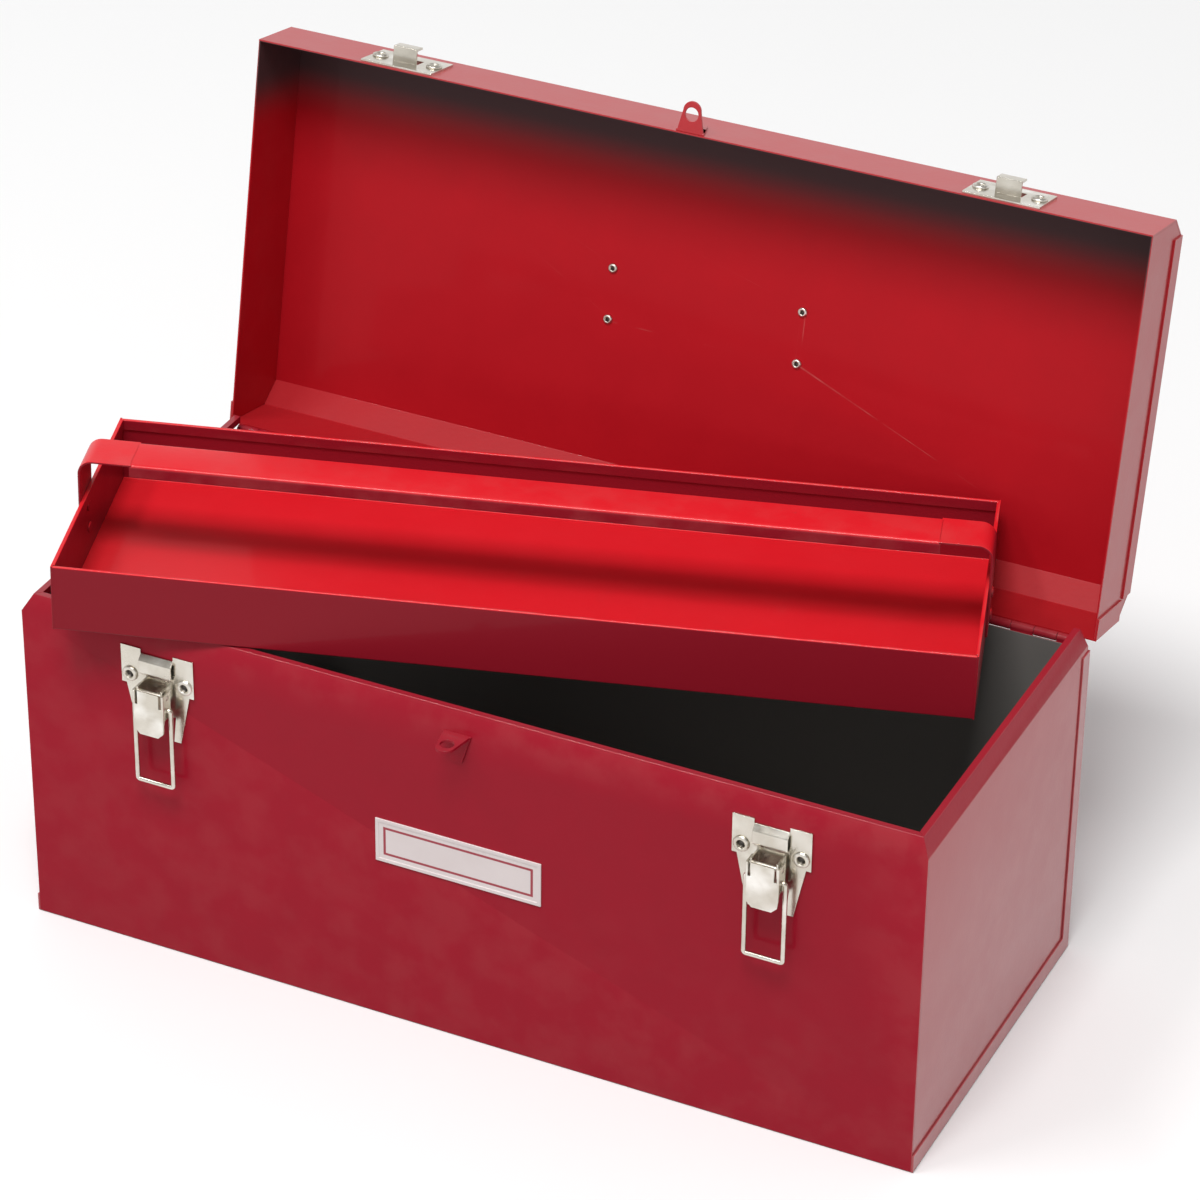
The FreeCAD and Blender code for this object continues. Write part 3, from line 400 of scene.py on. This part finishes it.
def moulded():
    # black grip: fine moulded texture, shinier where the hand rubs it
    material, tree, shader = startMaterial("gripPlastic", {"Specular IOR Level": 0.4})
    scuff = fillGroup(tree, "scuff", {"Line Scale": 1500.0, "Cloud Scale": 40.0})
    rub = fillGroup(tree, "rub", {})
    colour = mixColour(tree, scuff.outputs["Clouds"], (0.012, 0.012, 0.013, 1),
                       (0.03, 0.03, 0.032, 1))
    colour = mixColour(tree, rub.outputs["Mask"], colour, (0.07, 0.07, 0.07, 1))
    tree.links.new(colour, shader.inputs["Base Color"])
    rough = addNode(tree, "ShaderNodeMapRange", {"Value": scuff.outputs["Clouds"],
                                                 "To Min": 0.38, "To Max": 0.6})
    tree.links.new(rough.outputs[0], shader.inputs["Roughness"])
    bump = addNode(tree, "ShaderNodeBump", {"Strength": 0.15, "Distance": 0.0003,
                                            "Height": scuff.outputs["Lines"]})
    tree.links.new(bump.outputs[0], shader.inputs["Normal"])
    return material


# half sizes of the border line's outer and inner edges, and how soft the edges are
plateLine = {"outer": (0.0425, 0.0085), "inner": (0.0411, 0.0071), "soft": 0.0002}


def printedPlate():
    # blank plate: pale satin metal with one thin red border line, no lettering
    low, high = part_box("name_plate")
    centre = (Vector(low) + Vector(high)) / 2
    material, tree, shader = startMaterial("plateFace", {"Coat Weight": 0.3,
                                                         "Coat Roughness": 0.15})
    where = addNode(tree, "ShaderNodeTexCoord").outputs["Object"]
    middle = addNode(tree, "ShaderNodeVectorMath", {0: where, 1: centre},
                     operation="SUBTRACT")
    split = addNode(tree, "ShaderNodeSeparateXYZ", {0: middle.outputs[0]})
    panels = []
    soft = plateLine["soft"]
    for wide, tall in (plateLine["outer"], plateLine["inner"]):
        panels.append(product(tree, [
            spread(tree, split.outputs["X"], wide + soft, wide - soft),
            spread(tree, split.outputs["Z"], tall + soft, tall - soft)]))
    line = workOut(tree, "SUBTRACT", panels[0], panels[1])
    scuff = fillGroup(tree, "scuff", {"Cloud Scale": 30.0})
    pale = mixColour(tree, scuff.outputs["Clouds"], (0.70, 0.60, 0.59, 1),
                     (0.84, 0.76, 0.75, 1))
    colour = mixColour(tree, line, pale, (0.34, 0.02, 0.04, 1))
    tree.links.new(colour, shader.inputs["Base Color"])
    rough = addNode(tree, "ShaderNodeMapRange", {"Value": scuff.outputs["Clouds"],
                                                 "To Min": 0.3, "To Max": 0.45})
    tree.links.new(rough.outputs[0], shader.inputs["Roughness"])
    bump = addNode(tree, "ShaderNodeBump", {"Strength": 0.1, "Distance": 0.0002,
                                            "Height": scuff.outputs["Lines"]})
    tree.links.new(bump.outputs[0], shader.inputs["Normal"])
    return material


materials = {
    "box_enamel": boxEnamel, "lid_enamel": lidEnamel, "hinge_enamel": hingeEnamel,
    "tray_enamel": trayEnamel, "ledge_enamel": ledgeEnamel,
    "latch_plating": latchPlating, "rivet_plating": rivetPlating,
    "wire_plating": wirePlating, "hinge_wire": hingeWire,
    "handle_plating": handlePlating, "grip_plastic": moulded(),
    "plate_face": printedPlate(),
}
print("materials ready")


# sheet pieces: cleaned CAD faces with real folds and eased edges
def finishPiece(name, bm, node):
    mesh = bpy.data.meshes.new(name)
    bm.to_mesh(mesh)
    bm.free()
    if "custom_normal" in mesh.attributes:
        mesh.attributes.remove(mesh.attributes["custom_normal"])
    for face in mesh.polygons:
        face.use_smooth = True
    piece = bpy.data.objects.new(name, mesh)
    bpy.context.scene.collection.objects.link(piece)
    slotName = slotOf[node]
    mesh.materials.clear()
    mesh.materials.append(materials[slotName])
    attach(piece, bodyOf[node])
    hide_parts(node)
    return piece


def faceWidth(face):
    longest = max(edge.calc_length() for edge in face.edges)
    return face.calc_area() / longest


def foldedCopy(node, name, fold):
    # fold["bend"] is the outside radius of the folds, fold["trim"] the eased cut edge
    bm = bmesh.new()
    bm.from_mesh(nodes[node].data)
    bmesh.ops.remove_doubles(bm, verts=bm.verts, dist=2e-6)
    bmesh.ops.dissolve_limit(bm, angle_limit=math.radians(1.0), verts=bm.verts,
                             edges=bm.edges)
    weight = bm.edges.layers.float.new("bevel_weight_edge")
    inside = max(fold["bend"] - fold["sheet"], fold["trim"]) / fold["bend"]
    for edge in bm.edges:
        if len(edge.link_faces) != 2:
            continue
        if edge.calc_face_angle(0.0) < math.radians(fold.get("angle", 30)):
            continue
        slim = min(faceWidth(face) for face in edge.link_faces)
        if slim < fold["sheet"] * 1.6:
            edge[weight] = fold["trim"] / fold["bend"]
        else:
            edge[weight] = 1.0 if edge.is_convex else inside
    if fold.get("split"):
        # thin U-shaped faces are cut into plain ones so that they shade flat
        bmesh.ops.connect_verts_concave(bm, faces=bm.faces)
    piece = finishPiece(name, bm, node)
    ease = piece.modifiers.new("folds", "BEVEL")
    ease.limit_method = "WEIGHT"
    ease.width = fold["bend"]
    ease.segments = fold.get("segments", 4)
    ease.harden_normals = True
    return piece


# outside radius of the folds, easing of the cut edges and sheet thickness
sheetFold = {"bend": 1.8 * mm, "trim": 0.22 * mm, "sheet": 1.0 * mm}
stripFold = {"bend": 0.3 * mm, "trim": 0.3 * mm, "sheet": 1.0 * mm}
eyeFold = {"bend": 0.45 * mm, "trim": 0.4 * mm, "sheet": 1.5 * mm}
latchFold = {"bend": 1.5 * mm, "trim": 0.35 * mm, "sheet": 1.2 * mm}
singleFolds = {
    "body_wrap": {**sheetFold, "bend": 1.7 * mm},
    "name_plate": {"bend": 0.25 * mm, "trim": 0.12 * mm, "sheet": 0.4 * mm},
    "padlock_eye_body": eyeFold,
    "lid_shell": {**sheetFold, "bend": 2.2 * mm},
    "padlock_eye_lid": {**eyeFold, "split": True},
    "tray_pan": sheetFold,
}
pairFolds = {
    "end_panel": {**sheetFold, "bend": 1.6 * mm},
    "edge_strip": stripFold,
    "tray_rest": sheetFold,
    "lid_end": stripFold,
    "handle_bracket": {**eyeFold, "bend": 0.5 * mm},
    "lid_strike": {**latchFold, "bend": 1.4 * mm},
    "tray_end": {**sheetFold, "bend": 0.9 * mm},
}
for node, fold in singleFolds.items():
    foldedCopy(node, node + "Sheet", fold)
for stem, fold in pairFolds.items():
    for side in ("left", "right"):
        node = stem + "_" + side
        foldedCopy(node, node + "Sheet", fold)
for side in ("left", "right"):
    foldedCopy("latch_plate_" + side, "latchPlate" + side.title(), latchFold)
    foldedCopy("latch_lever_" + side, "latchLever" + side.title(),
               {**latchFold, "sheet": 1.0 * mm, "trim": 0.3 * mm})
for node in ("hinge_leaf_body", "hinge_leaf_lid"):
    foldedCopy(node, node + "Rolled", {"bend": 0.3 * mm, "trim": 0.2 * mm,
                                       "sheet": 0.9 * mm, "segments": 2, "angle": 50})
print("sheet pieces folded")

# the tray's strap: a channel between two flat ends that are bent down and riveted on;
# lengths in the tray's own frame, measured from its left front lower corner
strap = {"length": 470.0, "middle": 78.75, "half": 12.5, "top": 61.5, "sheet": 1.2,
         "foot": 8.0, "bend": 8.0, "edge": 2.0, "lip": 7.0, "lipFrom": 26.0,
         "overlap": 1.0, "eased": 0.3}
trayLie = {"corner": (-0.2195, -0.1313, 0.2), "askew": 17.64, "dip": 0.9, "lean": -0.45}
trayFrame = (Matrix.Translation(trayLie["corner"])
             @ Matrix.Rotation(math.radians(trayLie["askew"]), 4, "Z")
             @ Matrix.Rotation(math.radians(trayLie["dip"]), 4, "Y")
             @ Matrix.Rotation(math.radians(trayLie["lean"]), 4, "X"))


def arc(centre, radius, start, end, steps):
    # points of a bend, angles in degrees
    points = []
    for k in range(steps + 1):
        angle = math.radians(start + (end - start) * k / steps)
        points.append((centre[0] + radius * math.cos(angle),
                       centre[1] + radius * math.sin(angle)))
    return points


def extrudeLine(bm, points, travel):
    # points are Vectors in millimetres in the tray's frame
    verts = [bm.verts.new(trayFrame @ (point * mm)) for point in points]
    edges = [bm.edges.new(pair) for pair in zip(verts, verts[1:])]
    grown = bmesh.ops.extrude_edge_only(bm, edges=edges)["geom"]
    moved = [item for item in grown if isinstance(item, bmesh.types.BMVert)]
    shift = trayFrame.to_3x3() @ (travel * mm)
    bmesh.ops.translate(bm, verts=moved, vec=shift)


bm = bmesh.new()
low, high, edge = strap["middle"] - strap["half"], strap["middle"] + strap["half"], strap["edge"]
channel = [(low, strap["top"] - strap["lip"])]
channel += arc((low + edge, strap["top"] - edge), edge, 180, 90, 6)
channel += arc((high - edge, strap["top"] - edge), edge, 90, 0, 6)
channel.append((high, strap["top"] - strap["lip"]))
extrudeLine(bm, [Vector((strap["lipFrom"], y, z)) for y, z in channel],
            Vector((strap["length"] - 2 * strap["lipFrom"], 0, 0)))
turn = strap["bend"]
leg = [(-strap["sheet"], strap["foot"])]
leg += arc((-strap["sheet"] + turn, strap["top"] - turn), turn, 180, 90, 10)
leg.append((strap["lipFrom"] + strap["overlap"], strap["top"]))
for flip in (False, True):
    line = [(strap["length"] - x if flip else x, z) for x, z in leg]
    extrudeLine(bm, [Vector((x, low, z)) for x, z in line],
                Vector((0, high - low, 0)))
bmesh.ops.recalc_face_normals(bm, faces=bm.faces)
strapUp = trayFrame.to_3x3() @ Vector((0, 0, 1))
if any(face.normal.dot(strapUp) < -0.99 for face in bm.faces):
    # the strap's level faces look up, so its thickness grows downwards
    bmesh.ops.reverse_faces(bm, faces=bm.faces)
strapPiece = finishPiece("trayStrap", bm, "tray_handle")
skin = strapPiece.modifiers.new("sheet", "SOLIDIFY")
skin.thickness = strap["sheet"] * mm
skin.offset = -1.0
eased = strapPiece.modifiers.new("eased", "BEVEL")
eased.width = strap["eased"] * mm
eased.segments = 2
eased.limit_method = "ANGLE"
eased.angle_limit = math.radians(50)
eased.harden_normals = True
print("tray strap folded")


# turned and bent pieces
def lathe(bm, line, centre, axis, steps=32):
    # line holds (distance along the axis, radius) pairs, from one end to the other
    axis = Vector(axis).normalized()
    across = axis.orthogonal().normalized()
    verts = []
    for along, radius in line:
        verts.append(bm.verts.new(centre + axis * along + across * radius))
    edges = [bm.edges.new(pair) for pair in zip(verts, verts[1:])]
    bmesh.ops.spin(bm, geom=verts + edges, cent=centre, axis=axis,
                   angle=2 * math.pi, steps=steps, use_merge=True)


def closeShape(bm):
    bmesh.ops.remove_doubles(bm, verts=bm.verts, dist=1e-6)
    bmesh.ops.recalc_face_normals(bm, faces=bm.faces)


def nodeCentre(node):
    low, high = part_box(node)
    return (Vector(low) + Vector(high)) / 2


# rivets, as (depth below the head's top, radius) in millimetres: rolled ones on the
# latches and strikes, hollow ones on the handle, domed ones on the tray's strap
rolledRivet = [
    (3.2, 0.0), (3.2, 2.1), (0.55, 2.25), (0.15, 2.5), (0.0, 3.0), (0.12, 3.6),
    (0.5, 4.15), (1.1, 4.4), (1.5, 4.35), (1.5, 2.9), (3.7, 2.9), (3.7, 3.55),
    (3.95, 3.6), (4.4, 3.4), (4.6, 2.9), (4.3, 2.2), (4.3, 0.0),
]
hollowRivet = [
    (2.2, 0.0), (2.2, 1.1), (0.4, 1.2), (0.06, 1.4), (0.0, 1.75), (0.15, 2.2),
    (0.6, 2.6), (1.2, 2.7), (1.2, 2.0), (3.7, 2.0), (3.7, 2.7), (4.0, 2.95),
    (4.4, 2.7), (4.6, 1.8), (4.6, 0.0),
]
trayRivet = [
    (0.0, 0.0), (0.08, 1.0), (0.3, 2.0), (0.8, 2.9), (1.3, 3.2), (1.3, 1.6),
    (3.5, 1.6), (3.5, 2.6), (3.8, 2.95), (4.2, 2.7), (4.4, 1.8), (4.4, 0.0),
]
inward = Vector((0, 1, 0))
lidTurn = Matrix.Rotation(-openAngle, 3, "X")


def solidIslands(node):
    # the corners of each separate solid in a node
    bm = bmesh.new()
    bm.from_mesh(nodes[node].data)
    bmesh.ops.remove_doubles(bm, verts=bm.verts, dist=2e-6)
    seen = set()
    islands = []
    for first in bm.verts:
        if first in seen:
            continue
        seen.add(first)
        stack = [first]
        found = []
        while stack:
            vert = stack.pop()
            found.append(vert.co.copy())
            for edge in vert.link_edges:
                other = edge.other_vert(vert)
                if other not in seen:
                    seen.add(other)
                    stack.append(other)
        islands.append(found)
    bm.free()
    return islands


def rivetRow(node, name, line, axes):
    # axes gives the direction from head to tail of the rivet at a place
    bm = bmesh.new()
    for points in solidIslands(node):
        middle = sum(points, Vector()) / len(points)
        axis = axes(middle)
        start = min(point.dot(axis) for point in points)
        low = Vector((min(p[k] for p in points) for k in range(3)))
        high = Vector((max(p[k] for p in points) for k in range(3)))
        boxMiddle = (low + high) / 2
        radial = boxMiddle - axis * boxMiddle.dot(axis)
        head = radial + axis * start
        lathe(bm, [(depth * mm, radius * mm) for depth, radius in line], head, axis, 28)
    closeShape(bm)
    return finishPiece(name, bm, node)


for side in ("left", "right"):
    rivetRow("latch_rivets_" + side, "latchRivets" + side.title(), rolledRivet,
             lambda middle: inward)
    rivetRow("strike_rivets_" + side, "strikeRivets" + side.title(), rolledRivet,
             lambda middle: lidTurn @ inward)
rivetRow("handle_rivets", "handleRivets", hollowRivet,
         lambda middle: lidTurn @ Vector((0, 0, 1)))
trayLow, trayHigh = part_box("tray_handle_rivets")
trayMiddle = (trayLow[0] + trayHigh[0]) / 2


def trayAxis(middle):
    # along the tray from the nearer of its ends
    left, right = nodeCentre("tray_end_left"), nodeCentre("tray_end_right")
    along = (right - left).normalized()
    return along if middle.x < trayMiddle else -along


rivetRow("tray_handle_rivets", "trayRivets", trayRivet, trayAxis)


def bentRod(bm, corners, radius, bend, ring=14, steps=6):
    # round bar through the corners, each turned on a radius
    first = (corners[1] - corners[0]).normalized()
    turn = first.to_track_quat("Z", "Y").to_matrix().to_4x4()
    made = bmesh.ops.create_circle(bm, cap_ends=False, radius=radius, segments=ring,
                                   matrix=Matrix.Translation(corners[0]) @ turn)
    loop = made["verts"]
    edges = list({edge for vert in loop for edge in vert.link_edges})
    ends = [edges]
    here = corners[0]
    for k in range(1, len(corners)):
        way = (corners[k] - corners[k - 1]).normalized()
        stop = corners[k]
        if k < len(corners) - 1:
            after = (corners[k + 1] - corners[k]).normalized()
            angle = way.angle(after)
            back = bend * math.tan(angle / 2)
            stop = corners[k] - way * back
        grown = bmesh.ops.extrude_edge_only(bm, edges=edges)["geom"]
        loop = [item for item in grown if isinstance(item, bmesh.types.BMVert)]
        bmesh.ops.translate(bm, verts=loop, vec=stop - here)
        edges = [item for item in grown if isinstance(item, bmesh.types.BMEdge)
                 and all(vert in loop for vert in item.verts)]
        here = stop
        if k < len(corners) - 1:
            axis = way.cross(after).normalized()
            side = axis.cross(way).normalized()
            grown = bmesh.ops.spin(bm, geom=loop + edges, cent=stop + side * bend,
                                   axis=axis, angle=angle, steps=steps,
                                   use_merge=False)["geom_last"]
            loop = [item for item in grown if isinstance(item, bmesh.types.BMVert)]
            edges = [item for item in grown if isinstance(item, bmesh.types.BMEdge)]
            here = corners[k] + after * back
    ends.append(edges)
    for rim in ends:
        bmesh.ops.edgeloop_fill(bm, edges=rim)
    closeShape(bm)


wireLoop = {"radius": 1.3 * mm, "half": 10.6 * mm, "stub": 7.8 * mm, "drop": 47.0 * mm,
            "bend": 1.4 * mm}
for side in ("left", "right"):
    pivot = Vector(joints["loop_" + side]["pos_m"])
    down = Vector((0, 0, -wireLoop["drop"]))
    corners = []
    for x in (-wireLoop["stub"], -wireLoop["half"]):
        corners.append(pivot + Vector((x, 0, 0)))
    for x in (-wireLoop["half"], wireLoop["half"]):
        corners.append(pivot + Vector((x, 0, 0)) + down)
    for x in (wireLoop["half"], wireLoop["stub"]):
        corners.append(pivot + Vector((x, 0, 0)))
    bm = bmesh.new()
    bentRod(bm, corners, wireLoop["radius"], wireLoop["bend"])
    finishPiece("wireLoop" + side.title(), bm, "latch_loop_" + side)

handleBar = {"radius": 3.5 * mm, "half": 45.0 * mm, "end": 53.0 * mm, "drop": 34.0 * mm,
             "bend": 5.0 * mm}
pivot = Vector(joints["handle_swing"]["pos_m"])
down = Vector((0, 0, -handleBar["drop"]))
corners = []
for sign in (-1, 1):
    outer = pivot + Vector((sign * handleBar["end"], 0, 0))
    shoulder = pivot + Vector((sign * handleBar["half"], 0, 0))
    pair = [outer, shoulder, shoulder + down]
    corners += pair if sign < 0 else pair[::-1]
bm = bmesh.new()
bentRod(bm, corners, handleBar["radius"], handleBar["bend"], ring=20, steps=8)
finishPiece("handleBar", bm, "carry_handle")

# finger-ribbed grip: a wavy line turned round the bar
grip = {"half": 38.0 * mm, "radius": 8.5 * mm, "bore": 3.55 * mm, "ribs": 4,
        "dip": 1.3 * mm, "plain": 4 * mm, "steps": 48,
        "ends": [(0.0, 1.6), (0.6, 0.5), (1.8, 0.0)]}  # mm in from the end, mm off the radius
line = [(-grip["half"], grip["bore"])]
for inset, drop in grip["ends"]:
    line.append((-grip["half"] + inset * mm, grip["radius"] - drop * mm))
for k in range(grip["steps"] + 1):
    part = k / grip["steps"]
    along = (2 * part - 1) * (grip["half"] - grip["plain"])
    wave = 0.5 - 0.5 * math.cos(2 * math.pi * grip["ribs"] * part)
    line.append((along, grip["radius"] - grip["dip"] * wave))
for inset, drop in reversed(grip["ends"]):
    line.append((grip["half"] - inset * mm, grip["radius"] - drop * mm))
line.append((grip["half"], grip["bore"]))
bm = bmesh.new()
lathe(bm, line + [line[0]], nodeCentre("handle_grip"), (1, 0, 0), 36)
closeShape(bm)
finishPiece("handleGrip", bm, "handle_grip")

# pins with peened ends, as (distance from the middle, radius)
for node, name, half, radius in (
        ("latch_pin_left", "latchPinLeft", 9.0 * mm, 1.2 * mm),
        ("latch_pin_right", "latchPinRight", 9.0 * mm, 1.2 * mm),
        ("hinge_pin", "hingeWire", 248.45 * mm, 1.3 * mm)):
    bm = bmesh.new()
    lathe(bm, [(-half, 0.0), (-half, radius * 0.55), (-half + radius * 0.2, radius * 0.9),
               (-half + radius * 0.5, radius), (half - radius * 0.5, radius),
               (half - radius * 0.2, radius * 0.9), (half, radius * 0.55), (half, 0.0)],
          nodeCentre(node), (1, 0, 0), 20)
    closeShape(bm)
    finishPiece(name, bm, node)
print("rivets, wires, pins and grip made")


# floor, light and camera
stageLook = {"floor": (0.93, 0.93, 0.93, 1), "floorBounce": (0.32, 0.32, 0.32, 1),
             "horizon": 1.0, "zenith": 0.36, "fadeFrom": 0.15, "fadeTo": 0.7}
bm = bmesh.new()
bmesh.ops.create_grid(bm, x_segments=1, y_segments=1, size=8.0)
mesh = bpy.data.meshes.new("floor")
bm.to_mesh(mesh)
bm.free()
floor = bpy.data.objects.new("floor", mesh)
bpy.context.scene.collection.objects.link(floor)
floor.location.z = -0.0004
paper = bpy.data.materials.new("paleFloor")
paper.use_nodes = True
paperShader = paper.node_tree.nodes["Principled BSDF"]
# the floor throws back less light than it shows, as dark cloth round the set would
rays = addNode(paper.node_tree, "ShaderNodeLightPath")
paper.node_tree.links.new(
    mixColour(paper.node_tree, rays.outputs["Is Diffuse Ray"], stageLook["floor"],
              stageLook["floorBounce"]), paperShader.inputs["Base Color"])
paperShader.inputs["Roughness"].default_value = 0.9
paperShader.inputs["Specular IOR Level"].default_value = 0.1
mesh.materials.append(paper)

world = bpy.data.worlds.new("studio")
bpy.context.scene.world = world
world.use_nodes = True
sky = world.node_tree.nodes["Background"]
sky.inputs["Color"].default_value = (1, 1, 1, 1)
heading = addNode(world.node_tree, "ShaderNodeTexCoord").outputs["Generated"]
height = addNode(world.node_tree, "ShaderNodeSeparateXYZ", {0: heading})
fade = addNode(world.node_tree, "ShaderNodeMapRange",
               {"Value": height.outputs["Z"], "From Min": stageLook["fadeFrom"],
                "From Max": stageLook["fadeTo"],
                "To Min": stageLook["horizon"], "To Max": stageLook["zenith"]})
world.node_tree.links.new(fade.outputs[0], sky.inputs["Strength"])


def softBox(name, place, aim, size, power):
    lamp = bpy.data.lights.new(name, "AREA")
    lamp.shape = "RECTANGLE"
    lamp.size, lamp.size_y = size
    lamp.energy = power
    holder = bpy.data.objects.new(name, lamp)
    holder.location = place
    holder.rotation_mode = "QUATERNION"
    holder.rotation_quaternion = (Vector(aim) - Vector(place)).to_track_quat("-Z", "Y")
    bpy.context.scene.collection.objects.link(holder)


softBox("key", (0.4, -2.2, 5.0), (0, 0, 0.2), (1.9, 1.5), 180)
softBox("strip", (-1.95, -1.9, 4.7), (0, 0, 0.2), (1.6, 0.35), 50)

framing = {"azimuth": 25.36, "elevation": 31.60, "roll": 0.69, "distance": 2.41707,
           "target": (0.02646, 0.0, 0.21314), "lens": 142.22, "sensor": 36.0}
azimuth, elevation = math.radians(framing["azimuth"]), math.radians(framing["elevation"])
roll = math.radians(framing["roll"])
back = Vector((math.sin(azimuth) * math.cos(elevation),
               -math.cos(azimuth) * math.cos(elevation), math.sin(elevation)))
level = Vector((math.cos(azimuth), math.sin(azimuth), 0))
upward = back.cross(level)
right = level * math.cos(roll) + upward * math.sin(roll)
up = upward * math.cos(roll) - level * math.sin(roll)
cameraData = bpy.data.cameras.new("camera")
cameraData.lens = framing["lens"]
cameraData.sensor_width = framing["sensor"]
cameraData.clip_end = 50
camera = bpy.data.objects.new("camera", cameraData)
bpy.context.scene.collection.objects.link(camera)
facing = Matrix((right, up, back)).transposed()
camera.matrix_world = Matrix.Translation(
    Vector(framing["target"]) + back * framing["distance"]) @ facing.to_4x4()
bpy.context.scene.camera = camera
bpy.context.scene.view_settings.view_transform = "Standard"
print("stage ready")
